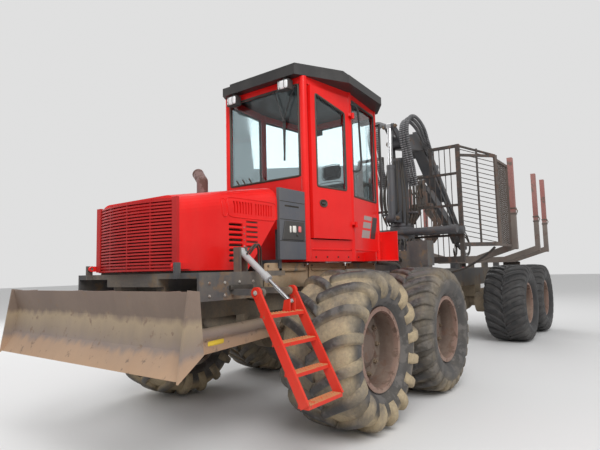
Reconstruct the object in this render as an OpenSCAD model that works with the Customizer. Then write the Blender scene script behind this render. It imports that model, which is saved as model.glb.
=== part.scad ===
// Eight wheel forestry forwarder with a dozer blade and a folded loading crane.
// X points forwards, Y to the machine's left and Z up. The ground is at zero
// and the origin lies on it, midway between the blade and the tail.

/* [Wheels] */
// Diameter of a tyre over its lugs
tyre_d = 1320; // [1200:10:1360]
// Width of a tyre
tyre_w = 700; // [600:10:720]
// Number of lugs on one half of a leading tyre
lead_lugs = 16; // [12:1:20]
// Height of a leading tyre's lug
lead_lug_h = 45; // [30:1:60]
// Width of a leading tyre's lug
lead_lug_w = 60; // [45:1:75]
// Number of lugs on one half of any other tyre
lugs = 26; // [20:1:28]
// Height of its lug
lug_h = 28; // [20:1:40]
// Width of its lug
lug_w = 75; // [60:1:80]
// Diameter of the rim's flanges
rim_d = 690; // [600:10:760]
// Distance between the two wheels of a bogie
wheel_gap = 1510; // [1480:10:1600]
// Distance between the middles of the left and right tyres
track = 2260; // [2240:10:2400]
// Place of the front bogies along the machine
front_bogie_x = 2420; // [2400:5:2440]
// Place of the rear bogies along the machine
rear_bogie_x = -3110; // [-3200:5:-3050]

/* [Frame] */
// Top of the frame's rails
frame_top = 1280; // [1260:5:1290]
// Bottom of the frame's rails
frame_low = 950; // [900:5:980]
// Distance between the outer faces of the rails
frame_w = 660; // [600:10:700]
// Width of one rail
rail_w = 100; // [60:5:120]
// Place of the steering pivot along the machine
pivot_x = 500; // [450:5:550]
// Tail of the rear frame
tail_x = -4930; // [-4960:5:-4850]
// Thickness of the deck around the engine
deck_t = 40; // [20:5:50]
// Width of the deck
deck_w = 1540; // [1400:10:1550]
// Front edge of the deck
deck_front = 4560; // [4500:5:4600]

/* [Blade] */
// Width of the blade
blade_w = 2220; // [2000:10:2500]
// Thickness of the mouldboard
blade_t = 25; // [15:1:40]
// Height of the blade's cutting edge
blade_low = 720; // [650:10:800]
// Height of the blade
blade_h = 490; // [400:10:550]

/* [Hood] */
// Width of the hood
hood_w = 1040; // [1000:10:1080]
// Height of the hood's top at its rear
hood_top = 2090; // [2050:10:2120]
// Number of slats in the front grille
slats = 22; // [16:1:26]

/* [Cab] */
// Underside of the cab
cab_low = 1400; // [1380:5:1420]
// Lower edge of the side windows
cab_belt = 2110; // [2050:5:2150]
// Underside of the roof
cab_top = 3270; // [3200:5:3300]
// Half the cab's width at its front posts
cab_front_y = 520; // [500:5:540]
// Half the cab's width at its door posts
cab_mid_y = 620; // [600:5:650]
// Thickness of the cab's walls
wall_t = 50; // [30:5:60]
// Radius of the cab's posts
post_r = 40; // [35:1:50]
// Thickness of the window glass
glass_t = 8; // [5:1:12]

/* [Ladder] */
// Width of the ladder
ladder_w = 420; // [380:10:440]
// Number of steps
steps = 4; // [3:1:5]

/* [Load space] */
// Half the width between the stakes
load_y = 1300; // [1280:5:1340]
// Top of the stakes
stake_top = 3150; // [3000:10:3250]
// Top of the headboard
gate_top = 3220; // [3150:10:3300]
// Distance between two upright bars of the headboard
gate_pitch = 88; // [70:1:120]

/* [Crane] */
// Radius of the crane's column
column_r = 130; // [110:5:140]
// Width of the main boom
boom_w = 200; // [180:5:210]
// Length of the outer boom from its pin to its mouth
jib_len = 1700; // [1600:10:1750]
// Length of a grapple jaw
jaw_len = 620; // [550:10:660]

/* [Hidden] */
wheels = [
    // name, place along the machine, side, tread
    ["front_left_1", front_bogie_x + wheel_gap / 2, 1, 0],
    ["front_left_2", front_bogie_x - wheel_gap / 2, 1, 1],
    ["front_right_1", front_bogie_x + wheel_gap / 2, -1, 0],
    ["front_right_2", front_bogie_x - wheel_gap / 2, -1, 1],
    ["rear_left_1", rear_bogie_x + wheel_gap / 2, 1, 1],
    ["rear_left_2", rear_bogie_x - wheel_gap / 2, 1, 1],
    ["rear_right_1", rear_bogie_x + wheel_gap / 2, -1, 1],
    ["rear_right_2", rear_bogie_x - wheel_gap / 2, -1, 1]];
// lugs on one half, height and width of a lug
treads = [[lead_lugs, lead_lug_h, lead_lug_w], [lugs, lug_h, lug_w]];
$fn = 48;

// clearances: shaft in its hole, parts that seat on each other, parts that move past
fit = 0.05;
seat = 0.3;
pass = 10;

// levels and lines that several pieces share
hub_z = tyre_d / 2;
rail_y = frame_w / 2 - rail_w;
deck_top = frame_top + deck_t;
tyre_in_y = track / 2 - tyre_w / 2;
case_y = tyre_in_y - 45;
spindle_r = 70;
spindle_y = track / 2 + 80;
lug_r = 130;
pivot_pin_r = 60;

// Boxes, tubes and plates that the pieces below are made of

// box between two corners
module block(from, to) translate(from) cube(to - from);

// the same piece on the left and on the right
module both_sides() {
    children();
    mirror([0, 1, 0]) children();
}

// shaft along Y at x and z, from y0 to y1
module shaft_y(x, z, r, y0, y1) translate([x, y1, z]) rotate([90, 0, 0]) cylinder(r = r, h = y1 - y0);

// shaft along X
module shaft_x(y, z, r, x0, x1) translate([x0, y, z]) rotate([0, 90, 0]) cylinder(r = r, h = x1 - x0);

// upright shaft
module shaft_z(x, y, r, z0, z1) translate([x, y, z0]) cylinder(r = r, h = z1 - z0);

// round bar from p to q
module strut(p, q, r) {
    v = q - p;
    translate(p) rotate([0, acos(v[2] / norm(v)), atan2(v[1], v[0])]) cylinder(r = r, h = norm(v));
}

// plate with an outline in x and z, from y0 to y1
module plate(outline, y0, y1) translate([0, y1, 0]) rotate([90, 0, 0])
    linear_extrude(y1 - y0) polygon(outline);

// arm from p to q in x and z with round ends of radius rp and rq, from y0 to y1
module arm(p, q, rp, rq, y0, y1) {
    u = (q - p) / norm(q - p);
    n = [-u[1], u[0]];
    plate([p + n * rp, q + n * rq, q - n * rq, p - n * rp], y0, y1);
    shaft_y(p[0], p[1], rp, y0, y1);
    shaft_y(q[0], q[1], rq, y0, y1);
}

// places a cylinder's own x axis from p to q in x and z, at height y across
module aim(p, q, y) translate([p[0], y, p[1]]) rotate([0, -atan2(q[1] - p[1], q[0] - p[0]), 0]) children();

// tube of a hydraulic cylinder: eye at its base pin, bored from its mouth
module barrel(length, r, rod_r, pin_r, eye_w) difference() {
    union() {
        shaft_y(0, 0, r, -eye_w / 2, eye_w / 2);
        shaft_x(0, 0, r, 0, length);
        shaft_x(0, 0, r + 6, length - 60, length);
    }
    shaft_y(0, 0, pin_r + fit, -eye_w, eye_w);
    shaft_x(0, 0, rod_r + fit, r + 10, length + 1);
}

// rod of a hydraulic cylinder, from inside its tube to the eye at its end
module ram_rod(start, length, rod_r, eye_r, pin_r, eye_w) difference() {
    union() {
        shaft_x(0, 0, rod_r, start, length - pin_r);
        shaft_y(length, 0, eye_r, -eye_w / 2, eye_w / 2);
    }
    shaft_y(length, 0, pin_r + 2, -eye_w, eye_w);
}

// Wheels

lug_slant = 32;

// ring turned from half of its outline, given as distances from the middle and radii, and mirrored
module ring(outline) rotate_extrude($fn = 96) polygon(concat([for (p = outline) [p[1], p[0]]],
    [for (i = [len(outline) - 1:-1:0]) [outline[i][1], -outline[i][0]]]));

// tyre: a carcass with rounded sides, and slanted lugs cut to one round outline
module tyre(x, side, tread) color("dimgray") translate([x, side * track / 2, hub_z]) rotate([90, 0, 0]) {
    seat_r = rim_d / 2 - 15;
    half = tyre_w / 2;
    top = tyre_d / 2;
    crown = top - tread[1];
    ring([[half - 95, seat_r], [half - 95, rim_d / 2 + seat], [half - 30, seat_r + 60],
        [half, seat_r + 150], [half - 8, top - 130], [half - 60, crown - 35], [half - 160, crown]]);
    intersection() {
        ring([[half - 14, top - 145], [half - 16, top - 90], [half - 45, top - 25], [half - 120, top]]);
        // a lug leans back from the middle to the shoulder, and the halves are half a lug apart
        for (h = [0, 1]) mirror([0, 0, h]) for (i = [0:tread[0] - 1]) rotate((i + h / 2) * 360 / tread[0])
            translate([0, 0, half / 2]) rotate([-lug_slant, 0, 0])
                block([top - 125, -tread[2] / 2, -half * 0.53], [top + 10, tread[2] / 2, half * 0.75]);
    }
}

// rim: a barrel with two flanges, a dished disc and the hub that turns on the spindle
module rim(x, side) color("sienna") translate([x, side * track / 2, hub_z]) rotate([side * -90, 0, 0]) {
    barrel_r = rim_d / 2 - 15 - seat;
    half = tyre_w / 2 - 95 + seat;
    disc_z = 75;
    difference() {
        rotate_extrude($fn = 96) polygon([
            [barrel_r - 22, -half - 24], [rim_d / 2, -half - 24], [rim_d / 2, -half], [barrel_r, -half],
            [barrel_r, half], [rim_d / 2, half], [rim_d / 2, half + 24], [barrel_r - 22, half + 24],
            [barrel_r - 30, disc_z + 22], [165, disc_z + 22], [165, disc_z + 50], [120, disc_z + 72],
            [0, disc_z + 72], [0, -140], [150, -140], [150, disc_z], [barrel_r - 22, disc_z]]);
        translate([0, 0, -141]) cylinder(r = spindle_r + fit, h = 141 + 90);
        for (i = [0:9]) rotate(i * 36) translate([240, 0, disc_z - 1]) cylinder(r = 14, h = 60);
    }
}

// Frame, axles and engine

// bogie case with its two spindles, the pivot in its middle and the axle between the sides
module axle(x) color("dimgray") {
    both_sides() {
        for (s = [-1, 1]) {
            shaft_y(x + s * wheel_gap / 2, hub_z, 180, case_y - 200, case_y);
            shaft_y(x + s * wheel_gap / 2, hub_z, spindle_r, case_y - 10, spindle_y);
        }
        block([x - wheel_gap / 2, case_y - 200, hub_z - 120], [x + wheel_gap / 2, case_y, hub_z + 130]);
        shaft_y(x, hub_z, 220, case_y - 330, case_y - 190);
    }
    shaft_y(x, hub_z, 130, -case_y + 200, case_y - 200);
    // round housing of the axle's gears
    translate([x, 0, hub_z]) sphere(r = 230);
    block([x - 190, -frame_w / 2, hub_z + 60], [x + 190, frame_w / 2, frame_low]);
}

// Front frame: two rails, the fork of the steering pivot, the deck and the blade's cross tube
blade_pin = [3560, 860];
blade_pin_r = 40;
blade_arm_y = 625;
blade_arm_t = 30;
lift_pin = [3720, 1180];
lift_y = 430;
hood_pin = [4580, 1370];
hood_pin_r = 12;
hood_ear_y = hood_w / 2 + 35;
ladder_pin = [deck_w / 2 + 280, frame_top - 110];
ladder_x = front_bogie_x + wheel_gap / 2 + tyre_d / 2 + 45;
ladder_pin_r = 14;
ladder_ram_pin = [deck_w / 2 - 110, deck_top + 160];
ladder_ram_x = ladder_x + 150;
ladder_ram_r = 26;
ladder_ram_end = ladder_pin + [84, -71];
ladder_ram_ear = ladder_ram_r + 10;

module front_frame() color("darkslategray") {
    both_sides() {
        block([780, rail_y, frame_low], [deck_front - 60, rail_y + rail_w, frame_top]);
        // side plates under the deck's edge
        block([3900, deck_w / 2 - 20, 1120], [deck_front, deck_w / 2, frame_top + 1]);
        block([3620, rail_y, frame_top], [deck_front, deck_w / 2, deck_top]);
        block([deck_front - 110, 0, frame_top - 60], [deck_front, rail_y + rail_w, deck_top]);
        // hangers of the blade's cross tube
        arm(blade_pin, blade_pin + [0, 150], 90, 90, rail_y, rail_y + rail_w);
        shaft_y(blade_pin[0], blade_pin[1], blade_pin_r, 0, blade_arm_y + blade_arm_t + 20);
        shaft_y(blade_pin[0], blade_pin[1], blade_pin_r + 25, 0, blade_arm_y - 5);
        // ears of the blade's cylinders
        block([lift_pin[0] - 45, lift_y - 75, lift_pin[1]], [lift_pin[0] + 45, lift_y - 55, frame_top + 1]);
        block([lift_pin[0] - 45, lift_y + 55, lift_pin[1]], [lift_pin[0] + 45, lift_y + 75, frame_top + 1]);
        shaft_y(lift_pin[0], lift_pin[1], 25, lift_y - 75, lift_y + 75);
        // ears of the hood's hinge
        block([hood_pin[0] - 25, hood_ear_y, deck_top - 10],
            [hood_pin[0] + 25, hood_ear_y + 20, hood_pin[1] + 25]);
        block([deck_front - 40, hood_ear_y, frame_top], [hood_pin[0] + 25, hood_ear_y + 20, deck_top]);
        shaft_y(hood_pin[0], hood_pin[1], hood_pin_r, hood_w / 2 + 3, hood_ear_y + 20);
    }
    // cab floor beams that the rubber mounts stand on
    for (x = [1560, 2840]) both_sides()
        block([x - 60, rail_y, frame_top], [x + 60, rail_y + 160, cab_low]);
    // fork of the steering pivot
    for (z = [700, frame_top - 80]) {
        shaft_z(pivot_x, 0, lug_r, z, z + 80);
        block([pivot_x, -lug_r, z], [860, lug_r, z + 80]);
    }
    block([790, -frame_w / 2, 700], [860, frame_w / 2, frame_top]);
    shaft_z(pivot_x, 0, pivot_pin_r, 700, frame_top);
    // brackets of the ladder
    for (x = [ladder_x + 45, ladder_x + ladder_w - 75]) {
        block([x, deck_w / 2 - 1, ladder_pin[1] - 20], [x + 30, ladder_pin[0], ladder_pin[1] + 25]);
        shaft_x(ladder_pin[0], ladder_pin[1], 30, x, x + 30);
    }
    for (x = [ladder_x + 5, ladder_x + ladder_w - 75])
        shaft_x(ladder_pin[0], ladder_pin[1], ladder_pin_r, x, x + 70);
    for (s = [-1, 1]) block([ladder_ram_x + s * ladder_ram_ear - 8, ladder_ram_pin[0] - 40, deck_top - 10],
        [ladder_ram_x + s * ladder_ram_ear + 8, ladder_ram_pin[0] + 30, ladder_ram_pin[1] + 30]);
    shaft_x(ladder_ram_pin[0], ladder_ram_pin[1], 12,
        ladder_ram_x - ladder_ram_ear, ladder_ram_x + ladder_ram_ear);
}

// engine: one plain block between the rails
module engine() color("gray")
    block([hood_back + 80, -rail_y, frame_low + 60], [hood_front - 170, rail_y, hood_top - 230]);

// Blade, its arms and its two cylinders

blade_x = 4900;
// outline of the mouldboard in x and z, from its lower edge up
blade_front = [[blade_x + 115, blade_low], [blade_x + 30, blade_low + 150],
    [blade_x, blade_low + 330], [blade_x + 40, blade_low + blade_h]];
blade_eye = [4815, 1120];
blade_ram_len = norm(blade_eye - lift_pin);

module blade() color("saddlebrown") {
    back = [for (i = [3:-1:0]) blade_front[i] - [blade_t, 0]];
    plate(concat(blade_front, back), -blade_w / 2, blade_w / 2);
    both_sides() {
        plate([blade_front[0] + [15, -10], blade_front[3] + [10, 10], blade_front[3] - [70, 0],
            blade_front[1] - [90, 30]], blade_w / 2 - 1, blade_w / 2 + 15);
        // push arm: an upright plate with a tube along its top
        difference() {
            union() {
                arm(blade_pin, [blade_x - 10, blade_low + 70], 75, 75,
                    blade_arm_y, blade_arm_y + blade_arm_t);
                strut([blade_pin[0] + 120, blade_arm_y + 15, blade_pin[1] + 40],
                    [blade_x - 20, blade_arm_y + 15, blade_low + 140], 45);
            }
            shaft_y(blade_pin[0], blade_pin[1], blade_pin_r + fit, 0, 800);
        }
        // ears of the cylinder's rod
        for (y = [lift_y - 62, lift_y + 42])
            arm(blade_eye, blade_front[2] - [blade_t + 5, -60], 40, 30, y, y + 20);
        // ribs on the back, which follow the mouldboard and stay behind its face
        for (y = [200, 900]) plate(concat([for (p = blade_front) p - [blade_t - 1, 0]],
            [blade_front[3] - [100, 0], blade_front[0] - [130, 0]]), y, y + 20);
    }
}

module blade_barrels() color("dimgray") both_sides()
    aim(lift_pin, blade_eye, lift_y) barrel(780, 42, 25, 25, 100);

module blade_rods() color("silver") both_sides()
    aim(lift_pin, blade_eye, lift_y) ram_rod(400, blade_ram_len, 25, 38, 20, 70);

// Hood, grille and exhaust

hood_back = 3400;
hood_front = 4520;
hood_low = deck_top + 15;
shoulder_r = 150;
exhaust_at = [hood_back + 160, 220 - hood_w / 2];
exhaust_r = 55;

// solid of the hood's outside, drawn in by a wall
module hood_form(inset) hull() for (row = [[hood_back, hood_top], [hood_front, hood_top - 190]])
    for (s = [-1, 1]) {
        translate([row[0], s * (hood_w / 2 - shoulder_r), row[1] - shoulder_r])
            rotate([0, 90, 0]) cylinder(r = shoulder_r - inset, h = 1, $fn = 32);
        translate([row[0], s * (hood_w / 2 - inset) - (s > 0 ? 10 : 0), hood_low]) cube([1, 10, 20]);
    }

module hood() color("red") difference() {
    union() {
        hood_form(0);
        // tabs of the hood's hinge
        both_sides() difference() {
            union() {
                arm([hood_front - 60, hood_pin[1]], hood_pin, 22, 22, hood_w / 2 + 1, hood_w / 2 + 25);
                block([hood_front - 80, hood_w / 2 - 5, hood_pin[1] - 22],
                    [hood_front - 5, hood_w / 2 + 25, hood_pin[1] + 22]);
            }
            shaft_y(hood_pin[0], hood_pin[1], hood_pin_r + fit, 0, hood_w);
        }
    }
    translate([-20, 0, -1]) difference() {
        hood_form(25);
        block([hood_front - 20, -600, 1000], [hood_front + 100, 600, 2500]);
    }
    block([hood_front - 80, 60 - hood_w / 2, hood_low + 60],
        [hood_front + 20, hood_w / 2 - 60, hood_top - 330]);
    // way out of the exhaust
    shaft_z(exhaust_at[0], exhaust_at[1], exhaust_r + seat, hood_top - 200, hood_top + 50);
    // the lower rear corner is cut back along a slant
    plate([[hood_back - 50, 1000], [hood_back + 400, 1000], [hood_back + 400, hood_low],
        [hood_back + 20, 1780], [hood_back - 50, 1780]], -700, 700);
    // louvres in the sides
    for (i = [0:6]) block([3480 + i * 34, -700, 1800], [3480 + i * 34 + 16, 700, 1900]);
    for (i = [0:6]) block([3740 + i * 34, -700, 1800], [3740 + i * 34 + 16, 700, 1900]);
    for (i = [0:7]) block([3860, -700, 1400 + i * 42], [4020, 700, 1400 + i * 42 + 18]);
}

grille_bulge = 90;
grille_r = (pow(hood_w / 2, 2) + pow(grille_bulge, 2)) / 2 / grille_bulge;

// band that bows forwards in plan, thick in x and tall in z
module bow(inset, thick, z, tall)
    translate([hood_front + grille_bulge - grille_r, 0, z]) linear_extrude(tall)
    intersection() {
        difference() {
            circle(r = grille_r - inset, $fn = 400);
            circle(r = grille_r - inset - thick, $fn = 400);
        }
        translate([grille_r - grille_bulge + 1 + seat, -hood_w / 2]) square([grille_r * 2, hood_w]);
    }

grille_low = hood_low + 5;
grille_top = hood_top - 215;
module grille() color("red") {
    pitch = (grille_top - grille_low) / slats;
    for (i = [0:slats - 1]) bow(0, 30, grille_low + i * pitch, pitch * 0.55);
    both_sides() block([hood_front + 1 + seat, hood_w / 2 - 55, grille_low],
        [hood_front + 25, hood_w / 2, grille_top]);
    for (y = [-260, 0, 260]) intersection() {
        bow(5, 22, grille_low, grille_top - grille_low);
        block([hood_front, y - 6, grille_low], [hood_front + 200, y + 6, grille_top]);
    }
    bow(30, 15, grille_low, 30);
    bow(30, 15, grille_top - 30, 30);
}

module exhaust() color("rosybrown") {
    bend = [exhaust_at[0], exhaust_at[1], hood_top + 130];
    shaft_z(bend[0], bend[1], exhaust_r, hood_top - 120, bend[2]);
    translate(bend) sphere(r = exhaust_r);
    strut(bend, bend + [-60, -130, 100], exhaust_r);
}

// Cab

front_x = 2950;
mid_x = 2250;
rear_x = 1480;
rear_y = 520;
skirt_top = 1620;
scuttle_z = 2250;
header_low = cab_top - 70;
// corners of the cab in plan, from the left front post round to the right front post
corners = [[front_x, cab_front_y], [mid_x, cab_mid_y], [rear_x, rear_y],
    [rear_x, -rear_y], [mid_x, -cab_mid_y], [front_x, -cab_front_y]];

// wall along the line between two corners
module wall(p, q, z0, z1, t) {
    v = q - p;
    translate([p[0], p[1], z0]) rotate(atan2(v[1], v[0]))
        translate([0, -t / 2, 0]) cube([norm(v), t, z1 - z0]);
}

// pane between two posts, standing on the wall below and reaching the header
module pane(p, q, z0, z1) {
    v = (q - p) / norm(q - p);
    wall(p + v * (post_r + 1), q - v * (post_r + 1), z0, z1, glass_t);
}

// sides of the cab: first corner, second corner, top of the lower wall
walls = [[0, 1, skirt_top], [1, 2, cab_belt], [2, 3, cab_belt], [3, 4, cab_belt], [4, 5, cab_belt],
    [5, 0, scuttle_z]];

module cab_shell() color("red") {
    for (c = corners) shaft_z(c[0], c[1], post_r, cab_low + 2, cab_top - 2);
    for (w = walls) {
        // the walls end inside the posts, short of their middles, and neighbours differ by 1 mm in height
        u = (corners[w[1]] - corners[w[0]]) / norm(corners[w[1]] - corners[w[0]]) * 5;
        wall(corners[w[0]] + u, corners[w[1]] - u, cab_low, w[2], wall_t);
        wall(corners[w[0]] + u, corners[w[1]] - u, header_low, cab_top - w[0] % 2, wall_t);
    }
    translate([0, 0, cab_low + 3]) linear_extrude(47) polygon(corners);
    // fenders behind the cab
    both_sides() {
        x = rear_x - 80;
        y = deck_w / 2 - 10;
        block([x, rear_y + 30, cab_low], [x + 580, y, cab_low + 12]);
        block([x, rear_y - 40, cab_low], [x + 12, y, cab_low + 360]);
        block([x + 12, rear_y - 40, cab_low + 240], [rear_x, rear_y + 20, cab_low + 360]);
        block([x + 560, rear_y + 40, cab_low], [x + 580, y, cab_low + 100]);
    }
    // hinge blocks of the door
    for (z = hinge_z) hinge_half(z, 0, 30);
}

// door hinge, beside the left door post
hinge_z = [1760, 2960];
door_u = (corners[1] - corners[0]) / norm(corners[1] - corners[0]);
door_n = [door_u[1], -door_u[0]];
door_axis = corners[1] - door_u * 15 + door_n * 80;
door_out = door_n * 28;

// knuckle of a door hinge with an arm to the post or to the door
module hinge_half(z, low, high) {
    translate([door_axis[0], door_axis[1], z + low]) cylinder(r = 18, h = high - low);
    translate([door_axis[0], door_axis[1], z + low]) cylinder(r = 8, h = 60 - low);
    wall(door_axis, corners[1], z + low, z + high, 14);
}

roof_edge = cab_top + 90;
roof_high = cab_top + 150;
lamp_z = cab_top - 130;
beacon = [mid_x + 350, 260];

module cab_roof() color("black") {
    // inset, underside and top of the roof's rim and of its crown
    for (row = [[0, cab_top, roof_edge], [70, roof_edge, roof_high]])
        translate([0, 0, row[1]]) linear_extrude(row[2] - row[1]) polygon([
            for (s = [1, -1]) for (p = s > 0 ? roof_side(row[0], 1) : roof_side_back(row[0])) p]);
}

// left edge of the roof from front to rear, drawn in by an inset
function roof_side(inset, s) = [[front_x + 120 - inset, s * (cab_front_y - 20 - inset * 0.6)],
    [mid_x + 250, s * (cab_mid_y + 180 - inset)], [rear_x + 170, s * (cab_mid_y + 120 - inset)],
    [rear_x - 110 + inset, s * (rear_y + 20 - inset * 0.6)]];
// right edge from rear to front
function roof_side_back(inset) = let (p = roof_side(inset, -1)) [p[3], p[2], p[1], p[0]];

module cab_glass() color("lightblue") {
    for (w = walls) if (w[0] > 0)
        pane(corners[w[0]], corners[w[1]], w[2], header_low);
}

module cab_seat() color("black") {
    // rear edge and top of the cushion
    x = rear_x + 240;
    z = cab_low + 380;
    block([x + 80, -230, cab_low + 50], [x + 380, 230, z - 140]);
    block([x, -250, z - 140], [mid_x - 10, 250, z]);
    plate([[x - 100, z], [x + 40, z], [x - 40, z + 660], [x - 160, z + 660]], -240, 240);
    plate([[x - 130, z + 660], [x - 50, z + 660], [x - 70, z + 880], [x - 140, z + 880]], -140, 140);
    both_sides() block([x + 40, 280, z], [mid_x - 70, 350, z + 180]);
    both_sides() block([x + 80, 250, z - 80], [x + 180, 300, z + 10]);
}

module cab_console() color("dimgray") {
    x = front_x - 90;
    z = scuttle_z - 20;
    block([x - 220, -300, cab_low + 50], [x, 300, z - 110]);
    plate([[x - 300, z - 110], [x, z - 110], [x, z], [x - 220, z]], -260, 260);
}

module side_panels() color("slategray") both_sides() {
    foot_x = hood_back - 100;
    wall([hood_back - 5, hood_w / 2 + 5], [front_x + post_r + 5, cab_front_y + 5],
        cab_low + 20, hood_top - 10, 30);
    block([foot_x, rail_y + 210, cab_low + 20], [foot_x + 40, hood_w / 2 - 9, cab_low + 300]);
    block([foot_x, rail_y, frame_top], [foot_x + 40, rail_y + 250, cab_low + 21]);
}

module roof_lamps() color("gray") {
    for (y = [-360, 360]) {
        block([front_x + 50, y - 70, lamp_z], [front_x + 125, y + 70, lamp_z + 100]);
        block([front_x + 70, y - 15, lamp_z + 99], [front_x + 100, y + 15, cab_top]);
        block([rear_x - 105, y - 60, lamp_z + 10], [rear_x - 50, y + 60, lamp_z + 100]);
        block([rear_x - 85, y - 15, lamp_z + 99], [rear_x - 60, y + 15, cab_top]);
    }
    shaft_z(beacon[0], beacon[1], 60, roof_high, roof_high + 15);
    shaft_z(beacon[0], beacon[1], 50, roof_high + 15, roof_high + 130);
}

module cab_rails() color("black") both_sides() {
    shaft_z(rear_x, rear_y + 90, 14, cab_belt - 130, cab_top - 170);
    for (z = [cab_belt - 115, cab_top - 185]) shaft_y(rear_x, z, 12, rear_y + post_r + seat, rear_y + 90);
}

module cab_door() color("red") {
    p = corners[0] + door_u * (post_r + pass);
    q = corners[1] - door_u * (post_r + pass);
    difference() {
        wall(p + door_out, q + door_out, skirt_top + pass, header_low - pass, 45);
        wall(p + door_out + door_u * 70, q + door_out - door_u * 70, 2150, header_low - pass - 70, 60);
    }
    for (z = hinge_z) {
        difference() {
            union() {
                translate([door_axis[0], door_axis[1], z + 31]) cylinder(r = 18, h = 30);
                wall(door_axis, q + door_out - door_u * 20, z + 31, z + 61, 14);
            }
            translate([door_axis[0], door_axis[1], z]) cylinder(r = 8 + fit, h = 100);
        }
    }
}

module door_glass() color("lightblue") {
    p = corners[0] + door_u * (post_r + pass + 70 + seat) + door_out;
    q = corners[1] - door_u * (post_r + pass + 70 + seat) + door_out;
    wall(p, q, 2150 + seat, header_low - pass - 70 - seat, glass_t);
}

// Ladder and its actuator

ladder_end = ladder_pin + [390, -710];
ladder_ram_len = norm(ladder_ram_end - ladder_ram_pin);

// middle of a step in y and z, counted from the top
function step_at(i) = ladder_pin + (ladder_end - ladder_pin) * (i - 0.15) / (steps - 0.15);

// places a cylinder's x axis from p to q in y and z, at x along the machine
module aim_side(p, q, x) translate([x, p[0], p[1]]) rotate([0, 0, 90])
    rotate([0, -atan2(q[1] - p[1], q[0] - p[0]), 0]) children();

module ladder() color("red") {
    difference() {
        for (x = [ladder_x, ladder_x + ladder_w - 20]) {
            aim_side(ladder_pin, ladder_end, x + 10)
                block([0, -10, -35], [norm(ladder_end - ladder_pin), 10, 35]);
            shaft_x(ladder_pin[0], ladder_pin[1], 40, x - 3, x + 23);
        }
        shaft_x(ladder_pin[0], ladder_pin[1], ladder_pin_r + fit, ladder_x - 10, ladder_x + ladder_w + 10);
    }
    for (i = [1:steps]) {
        p = step_at(i);
        block([ladder_x + 10, p[0] - 60, p[1] - 12], [ladder_x + ladder_w - 10, p[0] + 25, p[1] + 12]);
    }
    // ears of the actuator's rod on the top step
    for (s = [-1, 1]) translate([ladder_ram_x + s * 30 - 6, 0, 0]) rotate([90, 0, 90]) linear_extrude(12)
        polygon([ladder_ram_end + [-25, 10], step_at(1) - [50, 5], step_at(1) + [20, -5],
            ladder_ram_end + [25, 20]]);
}

module ladder_barrel() color("dimgray") aim_side(ladder_ram_pin, ladder_ram_end, ladder_ram_x)
    barrel(360, ladder_ram_r, 14, 12, 46);

module ladder_rod() color("silver") aim_side(ladder_ram_pin, ladder_ram_end, ladder_ram_x)
    ram_rod(240, ladder_ram_len, 14, 20, 8, 40);

// Rear unit

bunk_low = tyre_d + 60;
bunks = [-1950, -3850, -4750];

module rear_frame() color("dimgray") {
    difference() {
        union() {
            shaft_z(pivot_x, 0, lug_r, 785, frame_top - 85);
            block([240, -lug_r, 785], [pivot_x, lug_r, frame_top - 85]);
        }
        shaft_z(pivot_x, 0, pivot_pin_r + fit, 700, frame_top);
    }
    block([200, -frame_w / 2, 785], [260, frame_w / 2, frame_top]);
    both_sides() block([tail_x, rail_y, frame_low], [230, rail_y + rail_w, frame_top]);
    for (x = [-900, bunks[0], bunks[1], tail_x + 60])
        block([x - 60, -rail_y - 10, frame_low + 40], [x + 60, rail_y + 10, frame_top]);
    // posts under the bunks and the headboard
    for (x = concat(bunks, [-700])) both_sides()
        block([x - 70, rail_y, frame_top], [x + 70, rail_y + rail_w, bunk_low]);
    // drawbar plate with its hole
    difference() {
        block([tail_x - 100, -120, frame_low + 40], [tail_x + 10, 120, frame_low + 90]);
        translate([tail_x - 40, 0, frame_low]) cylinder(r = 25, h = 200);
    }
    block([tail_x - 5, -frame_w / 2, frame_low], [tail_x + 10, frame_w / 2, frame_top]);
}

// stakes on their bunks
module stakes() color("brown") {
    for (x = bunks) {
        block([x - 60, -700, bunk_low], [x + 60, 700, bunk_low + 110]);
        both_sides() {
            translate([x + 60, 0, 0]) rotate([90, 0, -90]) linear_extrude(120) polygon([[-699, bunk_low],
                [-load_y - 80, bunk_low + 220], [-load_y - 80, bunk_low + 330], [-699, bunk_low + 110]]);
            block([x - 50, load_y, bunk_low + 200], [x + 50, load_y + 80, stake_top]);
        }
    }
}

gate_x = -660;
gate_y = 870;
notch_y = 430;
notch_z = 2780;
wing = [[gate_x, gate_y], [-1150, load_y]];
gate_low = bunk_low;

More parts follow.
